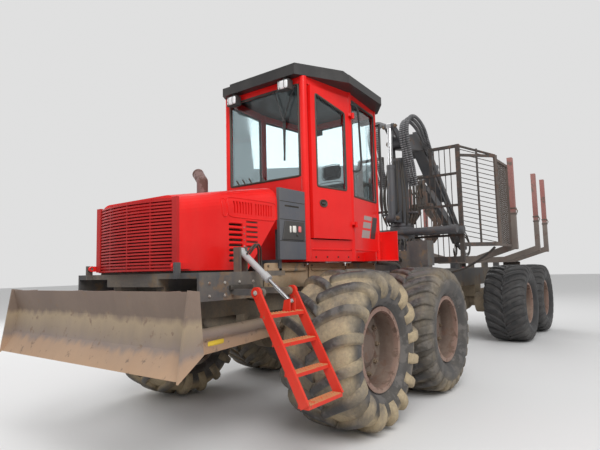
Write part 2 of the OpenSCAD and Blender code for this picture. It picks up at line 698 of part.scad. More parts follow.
// headboard: upright bars in a frame with a notch for the boom, slanted wings and side grids
module headboard() color("dimgray") {
    bar = 14;
    block([gate_x - 30, -gate_y, gate_low], [gate_x + 30, gate_y, gate_low + 90]);
    for (z = [1780, 2250, notch_z - 30]) block([gate_x - 20, -gate_y, z], [gate_x + 20, gate_y, z + 35]);
    both_sides() {
        block([gate_x - 30, gate_y - 30, gate_low], [gate_x + 30, gate_y + 30, gate_top]);
        block([gate_x - 22, notch_y - 22, notch_z], [gate_x + 22, notch_y + 22, gate_top]);
        block([gate_x - 22, notch_y, gate_top - 45], [gate_x + 22, gate_y, gate_top]);
        for (y = [gate_pitch / 2:gate_pitch:gate_y - 40])
            shaft_z(gate_x, y, bar / 2, gate_low + 80, y < notch_y ? notch_z : gate_top - 20);
        // wing with bars that slope down towards the outside
        wall(wing[0], wing[1], gate_low + 240, gate_low + 300, 40);
        wall(wing[0], wing[1], gate_top - 190, gate_top - 150, 30);
        mid = (wing[0] + wing[1]) / 2;
        shaft_z(mid[0], mid[1], 16, gate_low + 240, gate_top - 60);
        shaft_z(wing[1][0], wing[1][1], 30, gate_low + 240, gate_top - 160);
        strut([wing[0][0], wing[0][1], gate_top - 20], [wing[1][0], wing[1][1], gate_top - 160], 18);
        for (z = [gate_low + 420:75:gate_top - 60])
            strut([wing[0][0], wing[0][1], z], [wing[1][0], wing[1][1], z - 130], 6);
        // side grid behind the wing, on the same line as the stakes
        for (z = [gate_low + 240, gate_top - 250])
            block([-1850, load_y - 18, z], [wing[1][0], load_y + 18, z + 40]);
        block([-1850, load_y - 18, gate_low + 240], [-1810, load_y + 18, gate_top - 210]);
        for (x = [-1760:70:-1200]) shaft_z(x, load_y, 6, gate_low + 240, gate_top - 220);
    }
}

// tank and valve block in front of the crane
module valve_tank() color("black") {
    block([0, -560, frame_top], [190, 560, 1560]);
    block([-60, 330, frame_top + 60], [190, 640, 1700]);
}

// Crane

column_x = -400;
slew_z = 1870;
base_top = 1960;
boom_pin = [column_x, 3350];
knee = [-1250, 3520];
elbow = [-3050, 1860];
boom_u = (knee - elbow) / norm(knee - elbow);
boom_n = [-boom_u[1], boom_u[0]];
tail = boom_pin + [300, 200];
lift_base = [column_x + 350, 2080];
lift_len = norm(tail - lift_base);
jib_angle = 28;
jib_u = [cos(jib_angle), sin(jib_angle)];
jib_n = [-jib_u[1], jib_u[0]];
jib_tip = elbow + jib_u * (jib_len + 300);
horn = elbow - jib_u * 350;
jib_base = elbow + boom_u * 1700 + boom_n * 230;
jib_ram_len = norm(horn - jib_base);
fork_len = 1100;
pin_r = 35;
cheek_t = 25;
jib_w = boom_w - 2 * cheek_t - 10;

module crane_base() color("dimgray") {
    block([column_x - 220, -frame_w / 2, frame_top], [column_x + 220, frame_w / 2, frame_top + 60]);
    difference() {
        shaft_z(column_x, 0, 190, frame_top + 60, base_top);
        shaft_z(column_x, 0, 100 + fit, base_top - 260, base_top + 1);
    }
    // tubes of the slewing cylinders
    for (s = [-1, 1]) {
        shaft_y(column_x + s * 160, slew_z, 52, -860, 860);
        shaft_y(column_x + s * 160, slew_z, 62, 850, 940);
        shaft_y(column_x + s * 160, slew_z, 62, -940, -850);
    }
}

module crane_column() color("slategray") {
    shaft_z(column_x, 0, 100, base_top - 250, base_top + 10);
    shaft_z(column_x, 0, 185, base_top + pass, base_top + 50);
    shaft_z(column_x, 0, column_r, base_top + 40, 3070);
    both_sides() {
        plate([[column_x - 120, 2940], [column_x + 120, 2940], [column_x + 90, 3390], [column_x + 40, 3440],
            [column_x - 40, 3440], [column_x - 90, 3390]], boom_w / 2 + 5, boom_w / 2 + 30);
        // ears of the lift cylinder
        plate([[column_x, 2020], [lift_base[0] + 50, 2020], [lift_base[0] + 50, lift_base[1] + 45],
            [lift_base[0] - 50, lift_base[1] + 60], [column_x, 2300]], 62, 82);
    }
    shaft_y(boom_pin[0], boom_pin[1], pin_r, -boom_w / 2 - 30, boom_w / 2 + 30);
    shaft_y(lift_base[0], lift_base[1], 30, -90, 90);
}

module main_boom() color("slategray") {
    fork = elbow + boom_u * fork_len;
    half = boom_w / 2;
    difference() {
        union() {
            arm(boom_pin, knee, 110, 150, -half, half);
            arm(knee, fork, 150, 115, -half, half);
            for (s = [-1, 1])
                arm(fork, elbow, 115, 85, s < 0 ? -half : half - cheek_t, s < 0 ? cheek_t - half : half);
            // tail horn
            for (y = [-75, 50]) arm(boom_pin, tail, 90, 45, y, y + 25);
            // box on top of the knee
            translate([knee[0], 0, knee[1]]) block([-190, -80, 100], [60, 80, 190]);
            // ears of the outer boom's cylinder
            for (y = [-70, 50]) arm(elbow + boom_u * 1700 + boom_n * 90, jib_base, 60, 40, y, y + 20);
        }
        shaft_y(boom_pin[0], boom_pin[1], pin_r + fit, -200, 200);
        // room for the outer boom in the fork
        arm(fork, elbow, 117, 117, -half + cheek_t, half - cheek_t);
    }
    shaft_y(elbow[0], elbow[1], pin_r, -half, half);
    shaft_y(jib_base[0], jib_base[1], 25, -70, 70);
    for (y = [-75, 45]) shaft_y(tail[0], tail[1], 28, y, y + 30);
}

module lift_barrel() color("dimgray") aim(lift_base, tail, 0) barrel(840, 58, 38, 30, 116);
module lift_rod() color("silver") aim(lift_base, tail, 0) ram_rod(645, lift_len, 38, 48, 28, 84);
module jib_barrel() color("dimgray") aim(jib_base, horn, 0) barrel(1480, 44, 25, 25, 90);
module jib_rod() color("silver") aim(jib_base, horn, 0) ram_rod(1150, jib_ram_len, 25, 40, 25, 60);

module jib() color("slategray") difference() {
    union() {
        arm(elbow, elbow + jib_u * 300, 75, 80, -jib_w / 2, jib_w / 2);
        arm(elbow + jib_u * 300, elbow + jib_u * (jib_len - 80), 80, 80, -jib_w / 2, jib_w / 2);
        // horn behind the elbow, as two ears for the cylinder's rod
        for (y = [-jib_w / 2, jib_w / 2 - 20]) arm(elbow, horn, 75, 42, y, y + 20);
    }
    shaft_y(elbow[0], elbow[1], pin_r + fit, -200, 200);
    // bore of the telescope
    aim(elbow, jib_tip, 0) block([420, -51, -51], [jib_len + 200, 51, 51]);
}

module jib_extension() color("slategray") {
    aim(elbow, jib_tip, 0) block([600, -50.7, -50.7], [norm(jib_tip - elbow) - 160, 50.7, 50.7]);
    difference() {
        arm(jib_tip - jib_u * 190, jib_tip, 50, 45, -30, 30);
        shaft_y(jib_tip[0], jib_tip[1], 22 + fit, -50, 50);
    }
}

link_low = jib_tip - [0, 170];

module grapple_link() color("dimgray") {
    for (y = [-55, 35]) arm(jib_tip, jib_tip - [0, 115], 45, 45, y, y + 20);
    shaft_y(jib_tip[0], jib_tip[1], 22, -55, 55);
    block([jib_tip[0] - 55, -55, link_low[1]], [jib_tip[0] + 55, 55, jib_tip[1] - 110]);
}

rotor_low = link_low[1] - 210;
module rotator() color("dimgray") {
    shaft_z(jib_tip[0], 0, 95, rotor_low, link_low[1] - seat);
    block([jib_tip[0] - 85, -170, rotor_low - 50], [jib_tip[0] + 85, 170, rotor_low + 1]);
    for (s = [-1, 1]) shaft_x(s * 120, jaw_pin_z, 22, jib_tip[0] - 150, jib_tip[0] + 150);
    for (s = [-1, 1]) block([jib_tip[0] - 80, s * 120 - 50, jaw_pin_z - 45],
        [jib_tip[0] + 80, s * 120 + 50, rotor_low - 49]);
}

jaw_pin_z = rotor_low - 120;
// jaw: two curved arms joined by bars, hung on the pin beside the middle
module jaw(side) color("dimgray") {
    y = side * 120;
    for (x = [-125, 95]) translate([jib_tip[0] + x, 0, 0]) difference() {
        rotate([90, 0, 90]) linear_extrude(30) mirror([side < 0 ? 1 : 0, 0]) polygon([
            [70, jaw_pin_z - 20], [120, jaw_pin_z + 50], [175, jaw_pin_z + 20], [290, jaw_pin_z - 200],
            [270, jaw_pin_z - 400], [150, jaw_pin_z - jaw_len + 60], [10, jaw_pin_z - jaw_len],
            [10, jaw_pin_z - jaw_len + 30], [120, jaw_pin_z - jaw_len + 150], [215, jaw_pin_z - 370],
            [225, jaw_pin_z - 220]]);
        translate([-1, y, jaw_pin_z]) rotate([0, 90, 0]) cylinder(r = 22 + fit, h = 40);
    }
    for (p = [[245, -300], [190, -440], [70, -jaw_len + 55]])
        shaft_x(side * p[0], jaw_pin_z + p[1], 20, jib_tip[0] - 110, jib_tip[0] + 110);
}

front_frame();
axle(front_bogie_x);  // front_axle
axle(rear_bogie_x);  // rear_axle
engine();
cab_shell();
cab_roof();
cab_glass();
cab_seat();
cab_console();
side_panels();
roof_lamps();
cab_rails();
blade();
blade_barrels();
blade_rods();
hood();
grille();
exhaust();
cab_door();
door_glass();
ladder();
ladder_barrel();
ladder_rod();
for (w = wheels) {
    tyre(w[1], w[2], treads[w[3]]);
    rim(w[1], w[2]);
}
rear_frame();
headboard();
stakes();
valve_tank();
crane_base();
crane_column();
main_boom();
lift_barrel();
lift_rod();
jib();
jib_barrel();
jib_rod();
jib_extension();
grapple_link();
rotator();
jaw(1);  // jaw_left
jaw(-1);  // jaw_right
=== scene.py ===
import math

import bpy
import numpy as np
from mathutils import Matrix, Vector


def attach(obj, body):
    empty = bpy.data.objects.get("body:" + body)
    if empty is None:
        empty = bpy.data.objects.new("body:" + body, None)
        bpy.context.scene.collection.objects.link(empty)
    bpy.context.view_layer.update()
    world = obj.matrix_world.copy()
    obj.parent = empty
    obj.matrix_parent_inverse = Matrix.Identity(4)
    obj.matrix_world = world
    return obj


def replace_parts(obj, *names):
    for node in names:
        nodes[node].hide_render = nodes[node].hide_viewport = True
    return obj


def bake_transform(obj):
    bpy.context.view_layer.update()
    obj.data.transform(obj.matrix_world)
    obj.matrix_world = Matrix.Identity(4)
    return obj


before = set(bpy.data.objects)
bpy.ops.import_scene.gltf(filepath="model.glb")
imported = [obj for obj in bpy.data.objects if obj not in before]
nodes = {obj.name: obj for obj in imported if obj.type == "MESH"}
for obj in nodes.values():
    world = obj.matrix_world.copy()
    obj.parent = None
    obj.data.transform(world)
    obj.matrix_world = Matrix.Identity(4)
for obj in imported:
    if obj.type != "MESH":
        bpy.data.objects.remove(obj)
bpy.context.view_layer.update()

# The view
# A camera at the height of the front tyres' tops, in front of the machine's left front wheel. Its
# place, turn and lens come from a perspective fit through the wheels, blade, cab and stakes.
camera_at = Vector((6.793, 3.286, 1.321))
turn, tilt, lean = 0.6372, 0.0927, -0.0248
focal_share = 482.9 / 600
ahead = Vector((-math.cos(turn) * math.cos(tilt), -math.sin(turn) * math.cos(tilt), math.sin(tilt)))
right = ahead.cross(Vector((0, 0, 1))).normalized()
above = right.cross(ahead)
right_leant = math.cos(lean) * right + math.sin(lean) * above
above_leant = math.cos(lean) * above - math.sin(lean) * right
camera = bpy.data.objects.new("camera", bpy.data.cameras.new("camera"))
camera.data.sensor_width = 36
camera.data.lens = 36 * focal_share
camera.data.clip_end = 200
camera.matrix_world = Matrix.Translation(camera_at) @ Matrix(
    (right_leant, above_leant, -ahead)).transposed().to_4x4()
bpy.context.scene.collection.objects.link(camera)
bpy.context.scene.camera = camera

# The floor and the light
# A plain pale floor under an even pale sky, with one large soft lamp high in front on the left and
# two weaker ones, behind and on the right, so that a colour renders about as it is written.
floor_size, floor_colour = 120, (0.74, 0.74, 0.74, 1)
sky_level, sky_seen = 0.62, 0.93
lamps = (
    # place, size, watts
    ((9.0, 8.0, 11.0), 9.0, 1350),
    ((-9.0, -6.0, 9.0), 8.0, 420),
    ((2.0, -11.0, 6.0), 6.0, 260))
scene = bpy.context.scene
scene.view_settings.view_transform = "Standard"
floor_mesh = bpy.data.meshes.new("floor")
half_floor = floor_size / 2
floor_mesh.from_pydata(
    [(-half_floor, -half_floor, 0), (half_floor, -half_floor, 0), (half_floor, half_floor, 0),
     (-half_floor, half_floor, 0)], [], [(0, 1, 2, 3)])
floor = bpy.data.objects.new("floor", floor_mesh)
scene.collection.objects.link(floor)
floor_finish = bpy.data.materials.new("floor")
floor_finish.use_nodes = True
floor_shader = floor_finish.node_tree.nodes["Principled BSDF"]
floor_shader.inputs["Base Color"].default_value = floor_colour
floor_shader.inputs["Roughness"].default_value = 0.85
floor_mesh.materials.append(floor_finish)
for place, size, watts in lamps:
    lamp = bpy.data.objects.new("lamp", bpy.data.lights.new("lamp", "AREA"))
    lamp.data.size = size
    lamp.data.energy = watts
    lamp.location = place
    lamp.rotation_euler = (Vector((0, 0, 1.2)) - Vector(place)).to_track_quat("-Z", "Y").to_euler()
    scene.collection.objects.link(lamp)
sky = bpy.data.worlds.new("sky")
scene.world = sky
sky.use_nodes = True
sky_nodes, sky_links = sky.node_tree.nodes, sky.node_tree.links
sky_light = sky_nodes["Background"]
sky_light.inputs["Strength"].default_value = sky_level
sky_light.inputs["Color"].default_value = (1, 1, 1, 1)
sky_view = sky_nodes.new("ShaderNodeBackground")
sky_view.inputs["Strength"].default_value = sky_seen
sky_path = sky_nodes.new("ShaderNodeLightPath")
sky_mix = sky_nodes.new("ShaderNodeMixShader")
sky_links.new(sky_path.outputs["Is Camera Ray"], sky_mix.inputs["Fac"])
sky_links.new(sky_light.outputs["Background"], sky_mix.inputs[1])
sky_links.new(sky_view.outputs["Background"], sky_mix.inputs[2])
sky_links.new(sky_mix.outputs["Shader"], sky_nodes["World Output"].inputs["Surface"])

# Tyres
# Eight rubber tyres about 1.3 m high and 0.7 m wide on one kind of rim. The two in front carry tall
# curved lugs with open grooves, the other six a lower, closer tread, and all are dusty and muddy.
tyre_r, tyre_w, seat_r, flange_r = 0.66, 0.70, 0.330, 0.345
hub_z, track_half = 0.66, 1.13
rubber, worn_rubber, mud = (0.040, 0.040, 0.043), (0.105, 0.100, 0.100), (0.42, 0.335, 0.215)
wall_r, shoulder_r = 0.49, 0.575
wheels = (
    # name, place along the machine, side
    ("front_left_1", 3.175, 1), ("front_left_2", 1.665, 1),
    ("front_right_1", 3.175, -1), ("front_right_2", 1.665, -1),
    ("rear_left_1", -2.355, 1), ("rear_left_2", -3.865, 1),
    ("rear_right_1", -2.355, -1), ("rear_right_2", -3.865, -1))
treads = (
    # lugs on a side, height, width at the foot and at the top, lean of the shoulder behind the
    # middle, start beside the middle, reach down the side wall
    (16, 0.045, 0.098, 0.056, 0.34, -0.02, 0.80),
    (26, 0.028, 0.088, 0.068, 0.30, -0.01, 0.62))


def soft_line(points, count):
    """Points spread evenly along a smooth line through the given ones: cubic Hermite pieces whose
    tangents are half the chord between the neighbours."""
    p = np.asarray(points, float)
    slope = np.gradient(p, axis=0)
    t = np.linspace(0, len(p) - 1, 20 * len(p))
    i = np.clip(t.astype(int), 0, len(p) - 2)
    f = (t - i)[:, None]
    line = ((2 * f**3 - 3 * f**2 + 1) * p[i] + (f**3 - 2 * f**2 + f) * slope[i]
            + (3 * f**2 - 2 * f**3) * p[i + 1] + (f**3 - f**2) * slope[i + 1])
    run = np.append(0, np.cumsum(np.linalg.norm(np.diff(line, axis=0), axis=1)))
    return np.stack([np.interp(np.linspace(0, run[-1], count), run, c) for c in line.T], axis=1)


def grid_faces(rows, columns, start=0, wrap_rows=False, wrap_columns=False):
    """Quads of a grid of rows x columns points stored row by row from index start, closed in either
    direction when wrapped."""
    r = np.arange(rows if wrap_rows else rows - 1)
    c = np.arange(columns if wrap_columns else columns - 1)
    r, c = (a.ravel() for a in np.meshgrid(r, c, indexing="ij"))
    r2, c2 = (r + 1) % rows, (c + 1) % columns
    quads = np.stack([r * columns + c, r * columns + c2, r2 * columns + c2, r2 * columns + c], axis=1)
    return (quads + start).tolist()


def joined(parts):
    """One list of points and one of faces from several (points, faces) pairs."""
    points, faces, start = [], [], 0
    for p, f in parts:
        p = np.asarray(p, float).reshape(-1, 3)
        points.append(p)
        faces += [[k + start for k in face] for face in f]
        start += len(p)
    return np.concatenate(points), faces


def piece(name, parts, finish, body, smooth=True, bevel=0):
    """One mesh object from (points, faces) pairs, with its finish, bevelled edges where asked, and the
    body it rides on, if it rides on one alone."""
    points, faces = joined(parts)
    mesh = bpy.data.meshes.new(name)
    mesh.from_pydata(points.tolist(), [], faces)
    mesh.validate()
    mesh.polygons.foreach_set("use_smooth", [smooth] * len(mesh.polygons))
    mesh.materials.append(finish)
    obj = bpy.data.objects.new(name, mesh)
    scene.collection.objects.link(obj)
    if bevel:
        edge = obj.modifiers.new("edges", "BEVEL")
        edge.width = bevel
        edge.segments = 2
        edge.limit_method = "ANGLE"
        edge.angle_limit = math.radians(35)
    if body:
        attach(obj, body)
    return obj


def mark(obj, name, values):
    """Keeps one number with each point of a piece, for its material to read."""
    kept = obj.data.attributes.new(name, "FLOAT", "POINT")
    kept.data.foreach_set("value", np.asarray(values, np.float32).ravel())


def weather_group():
    """Node group that ages a coat: patches where it is rubbed down to what is below, dust in soft
    clouds and runs, and splashed dirt that fades out above a height. All from object coordinates."""
    group = bpy.data.node_groups.new("weather", "ShaderNodeTree")
    face = group.interface
    for name, kind, value in (
            ("Coat", "Color", (0.5, 0.5, 0.5, 1)), ("Below", "Color", (0.2, 0.1, 0.05, 1)),
            ("Dust", "Color", (0.4, 0.33, 0.25, 1)), ("Rubbed", "Float", 0.2), ("Dusty", "Float", 0.2),
            ("Splash height", "Float", 0.8), ("Grain", "Float", 6.0), ("Gloss", "Float", 0.35)):
        socket = face.new_socket(name=name, in_out="INPUT", socket_type="NodeSocket" + kind)
        socket.default_value = value
    for name, kind in (("Color", "Color"), ("Roughness", "Float"), ("Height", "Float")):
        face.new_socket(name=name, in_out="OUTPUT", socket_type="NodeSocket" + kind)
    n, link = group.nodes, group.links.new
    given, out = n.new("NodeGroupInput"), n.new("NodeGroupOutput")
    place = n.new("ShaderNodeTexCoord").outputs["Object"]

    def noise(scale, detail, stretch=(1, 1, 1), scaled_by=None):
        """Value noise at a scale, stretched along the axes."""
        spread = n.new("ShaderNodeMapping")
        spread.inputs["Scale"].default_value = stretch
        link(place, spread.inputs["Vector"])
        texture = n.new("ShaderNodeTexNoise")
        texture.inputs["Scale"].default_value = scale
        texture.inputs["Detail"].default_value = detail
        texture.inputs["Roughness"].default_value = 0.62
        link(spread.outputs["Vector"], texture.inputs["Vector"])
        if scaled_by is not None:
            link(scaled_by, texture.inputs["Scale"])
        return texture.outputs["Fac"]

    def maths(operation, a, b=None, clamp=False):
        """One sum on sockets or numbers."""
        node = n.new("ShaderNodeMath")
        node.operation = operation
        node.use_clamp = clamp
        for socket, value in zip(node.inputs, (a, b)):
            if isinstance(value, (int, float)):
                socket.default_value = value
            elif value is not None:
                link(value, socket)
        return node.outputs[0]

    def blend(share, a, b):
        """Colour a turned into colour b by a share."""
        mix = n.new("ShaderNodeMix")
        mix.data_type = "RGBA"
        link(share, mix.inputs["Factor"])
        link(a, mix.inputs["A"])
        link(b, mix.inputs["B"])
        return mix.outputs["Result"]

    grain = noise(6, 8, scaled_by=given.outputs["Grain"])
    cloud = noise(1.3, 6)
    fine = noise(45, 6)
    runs = noise(5, 4, (1, 1, 0.12))
    # the coat is rubbed through where the grain is above a level set by Rubbed
    level = maths("SUBTRACT", 0.82, maths("MULTIPLY", given.outputs["Rubbed"], 0.5))
    grit = maths("ADD", grain, maths("MULTIPLY", fine, 0.16))
    rubbed = maths("MULTIPLY", maths("SUBTRACT", grit, level), 14, True)
    # splash rises from the ground and is ragged at its top
    height = n.new("ShaderNodeSeparateXYZ")
    link(place, height.inputs["Vector"])
    ragged = maths("MULTIPLY", maths("SUBTRACT", cloud, 0.5), 1.6)
    edge = maths("ADD", given.outputs["Splash height"], ragged)
    splash = maths("MULTIPLY", maths("SUBTRACT", edge, height.outputs["Z"]), 1.6, True)
    clouds = maths("MULTIPLY", maths("SUBTRACT", maths("ADD", cloud, runs), 0.82), 2.2, True)
    share = maths("ADD", maths("MULTIPLY", clouds, 0.9), 0.3)
    dusty = maths("MULTIPLY", given.outputs["Dusty"], share, True)
    splashed = maths("MULTIPLY", splash, maths("MULTIPLY", given.outputs["Dusty"], 1.1))
    dusty = maths("ADD", dusty, splashed, True)
    dusty = maths("MULTIPLY", dusty, maths("ADD", maths("MULTIPLY", fine, 0.9), 0.45), True)
    tint = n.new("ShaderNodeHueSaturation")
    link(given.outputs["Coat"], tint.inputs["Color"])
    link(maths("ADD", maths("MULTIPLY", cloud, 0.5), 0.75), tint.inputs["Value"])
    colour = blend(rubbed, tint.outputs["Color"], given.outputs["Below"])
    colour = blend(dusty, colour, given.outputs["Dust"])
    rough = maths("ADD", given.outputs["Gloss"], maths("MULTIPLY", dusty, 0.5))
    rough = maths("ADD", rough, maths("MULTIPLY", rubbed, 0.3), True)
    relief = maths("SUBTRACT", maths("MULTIPLY", fine, 0.35), maths("MULTIPLY", rubbed, 0.25))
    link(colour, out.inputs["Color"])
    link(rough, out.inputs["Roughness"])
    link(maths("ADD", relief, maths("MULTIPLY", dusty, 0.3)), out.inputs["Height"])
    return group


weather = weather_group()


def aged(name, coat, below, dust=mud, rubbed=0.2, dusty=0.2, splash=0.8, grain=6.0, gloss=0.35, relief=0.004,
         metallic=0.0, coat_weight=0.0, specular=0.5):
    """Material of a coated, worn and dusty surface, with the weather group in front of its shader."""
    finish = bpy.data.materials.new(name)
    finish.use_nodes = True
    n, link = finish.node_tree.nodes, finish.node_tree.links.new
    shader = n["Principled BSDF"]
    worn = n.new("ShaderNodeGroup")
    worn.node_tree = weather
    for socket, value in (("Coat", coat), ("Below", below), ("Dust", dust)):
        worn.inputs[socket].default_value = (*value, 1)
    for socket, value in (("Rubbed", rubbed), ("Dusty", dusty), ("Splash height", splash),
                          ("Grain", grain), ("Gloss", gloss)):
        worn.inputs[socket].default_value = value
    bump = n.new("ShaderNodeBump")
    bump.inputs["Distance"].default_value = relief
    bump.inputs["Strength"].default_value = 0.6
    link(worn.outputs["Color"], shader.inputs["Base Color"])
    link(worn.outputs["Roughness"], shader.inputs["Roughness"])
    link(worn.outputs["Height"], bump.inputs["Height"])
    link(bump.outputs["Normal"], shader.inputs["Normal"])
    shader.inputs["Metallic"].default_value = metallic
    shader.inputs["Coat Weight"].default_value = coat_weight
    shader.inputs["Specular IOR Level"].default_value = specular
    shader.inputs["Coat Roughness"].default_value = 0.12
    return finish


def tyre_section(count, tall):
    """Section of the carcass from one bead to the other as (axial, radius), a smooth line through
    the bead, the bulge of the side wall, the shoulder and the tread below its lugs."""
    bead, bulge, shoulder, crown = tyre_w / 2 - 0.095, tyre_w / 2 - 0.012, tyre_w / 2 - 0.075, tyre_r
    floor_r = crown - tall
    side = [(bead, seat_r + 0.001), (bead + 0.010, flange_r + 0.008), (bulge - 0.022, flange_r + 0.055),
            (bulge, flange_r + 0.135), (bulge - 0.010, crown - 0.130), (shoulder, floor_r - 0.026),
            (0.16, floor_r - 0.004), (0, floor_r)]
    left = [(-a, r) for a, r in side]
    return soft_line(left + side[::-1][1:], count)


def tyre_shape(x, side, tread):
    """Carcass turned about the hub, its lugs, and how much mud each point holds. A lug is a bar swept
    over the tread and shoulder: its middle line follows the section from beside the middle down the
    side wall while it falls behind by lean x (1 - (1 - way)^1.8), and its section narrows towards
    the top. Mud fills the tread between the lugs, thins out down the side wall and is worn off the
    lugs' tops, but not off their outer ends."""
    lugs, tall, foot, top, lean, start, reach = tread
    turns, across = 96, 41
    section = tyre_section(across, tall)
    a = np.linspace(0, 2 * np.pi, turns, endpoint=False)[:, None]
    carcass = np.stack([section[:, 1] * np.sin(a), np.broadcast_to(section[:, 0], (turns, across)),
                        section[:, 1] * np.cos(a)], axis=-1)
    parts = [(carcass, grid_faces(turns, across, wrap_rows=True))]
    held = np.clip((section[:, 1] - wall_r) / (shoulder_r - wall_r), 0, 1)
    caked = [np.broadcast_to(held, (turns, across)).ravel(), np.zeros(2 * turns)]
    inner = (seat_r - 0.001) * np.stack([np.sin(a[:, 0]), 0 * a[:, 0], np.cos(a[:, 0])], axis=1)
    rings = np.stack([inner + [0, section[0, 0], 0], inner + [0, section[-1, 0], 0]], axis=1)
    parts.append((rings, [f[::-1] for f in grid_faces(turns, 2, wrap_rows=True)]))
    fine = tyre_section(400, tall)
    run = np.append(0, np.cumsum(np.linalg.norm(np.diff(fine, axis=0), axis=1)))
    out = np.stack([-np.gradient(fine[:, 1]), np.gradient(fine[:, 0])], axis=1)
    out /= np.linalg.norm(out, axis=1)[:, None]
    steps = 15
    way = np.linspace(0, 1, steps)
    middle_run = np.interp(0, fine[:, 0], run)
    for s in (1, -1):
        at = middle_run + s * (start + way * (run[-1] / 2 * reach - start))
        line = np.stack([np.interp(at, run, fine[:, k]) for k in (0, 1)], axis=1)
        away = np.stack([np.interp(at, run, out[:, k]) for k in (0, 1)], axis=1)
        rise = tall * np.clip((1.02 - way) / 0.28, 0, 1) ** 0.6
        # how wide and how high each corner of the bar's section lies
        corners = np.array([(-0.5 * foot, -0.25), (-0.5 * top - 0.006, 0.86), (-0.5 * top + 0.006, 1.0),
                            (0.5 * top - 0.006, 1.0), (0.5 * top + 0.006, 0.86), (0.5 * foot, -0.25)])
        lift = line[:, None, :] + away[:, None, :] * (corners[None, :, 1, None] * rise[:, None, None])
        bare = 1 - 0.85 * np.clip((way - 0.5) / 0.3, 0, 1)
        kept = 1 - np.clip(corners[None, :, 1], 0, 1) * bare[:, None]
        caked += [kept.ravel()] * lugs
        for k in range(lugs):
            middle = 2 * np.pi * (k + (0.5 if s > 0 else 0)) / lugs + lean * ((1 - way)**1.8 - 0.35)
            angle = middle[:, None] + corners[None, :, 0] / lift[..., 1]
            bar = np.stack([lift[..., 1] * np.sin(angle), lift[..., 0], lift[..., 1] * np.cos(angle)],
                           axis=-1)
            rows, columns = bar.shape[:2]
            faces = grid_faces(rows, columns)
            faces += [list(range(columns))[::-1], [columns * (rows - 1) + c for c in range(columns)]]
            parts.append((bar, faces if s > 0 else [f[::-1] for f in faces]))
    points, faces = joined(parts)
    return [(points + [x, side * track_half, hub_z], faces)], np.concatenate(caked)


def by_mark(finish, name, low, high):
    """Dust of an aged material that grows from low to high with a number kept on its points; on the hose
    guards it lays their grey on the ribs and leaves painted shade in the grooves.
    """
    n, link = finish.node_tree.nodes, finish.node_tree.links.new
    kept, spread = n.new("ShaderNodeAttribute"), n.new("ShaderNodeMapRange")
    kept.attribute_name = name
    spread.inputs["To Min"].default_value = low
    spread.inputs["To Max"].default_value = high
    link(kept.outputs["Fac"], spread.inputs["Value"])
    worn = next(k for k in n if k.type == "GROUP")
    link(spread.outputs["Result"], worn.inputs["Dusty"])
    return finish


tyre_finishes = {
    # mud on the side wall and in the tread
    "front_left_1": ("muddy_rubber", mud, 0.10, 1.35), "front_left_2": ("worn_rubber", mud, 0.12, 0.55),
    "rear": ("dark_rubber", (0.20, 0.19, 0.18), 0.06, 0.26)}
for key, (title, dirt, low, high) in list(tyre_finishes.items()):
    black = 0.45 if key == "rear" else 1
    finish = aged(title, [black * c for c in rubber], [black * c for c in worn_rubber], dust=dirt,
                  rubbed=0.5, dusty=0.5, splash=0.35, grain=9, gloss=0.5, relief=0.006)
    tyre_finishes[key] = by_mark(finish, "caked", low, high)
for name, x, side in wheels:
    leads = name in ("front_left_1", "front_right_1")
    parts, caked = tyre_shape(x, side, treads[0 if leads else 1])
    finish = tyre_finishes.get(name.replace("right", "left"), tyre_finishes["rear"])
    tyre = piece("tread_" + name, parts, finish, "wheel_" + name)
    mark(tyre, "caked", caked)
    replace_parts(tyre, "tyre_" + name)

# Rims
# Pressed steel rims with a deep dished disc, rusty where the paint has gone and caked with mud, each
# held on its hub by ten studs with nuts. The barrel inside the dish is painted darker as shade.
stud_ring_r, stud_out, nut_r, nut_h = 0.24, 0.097, 0.021, 0.024
disc_in, lip_out = 0.05, 0.27
rim_rust_and_shade = aged("rim_rust_and_shade", (0.165, 0.062, 0.045), (0.10, 0.045, 0.030), dust=(0.40, 0.33, 0.26),
                 rubbed=0.42, dusty=0.32, splash=0.55, grain=12, gloss=0.5)
stud_rust = aged("stud_rust", (0.13, 0.085, 0.065), (0.08, 0.045, 0.030), rubbed=0.6, dusty=0.4, grain=20,
                 gloss=0.5)


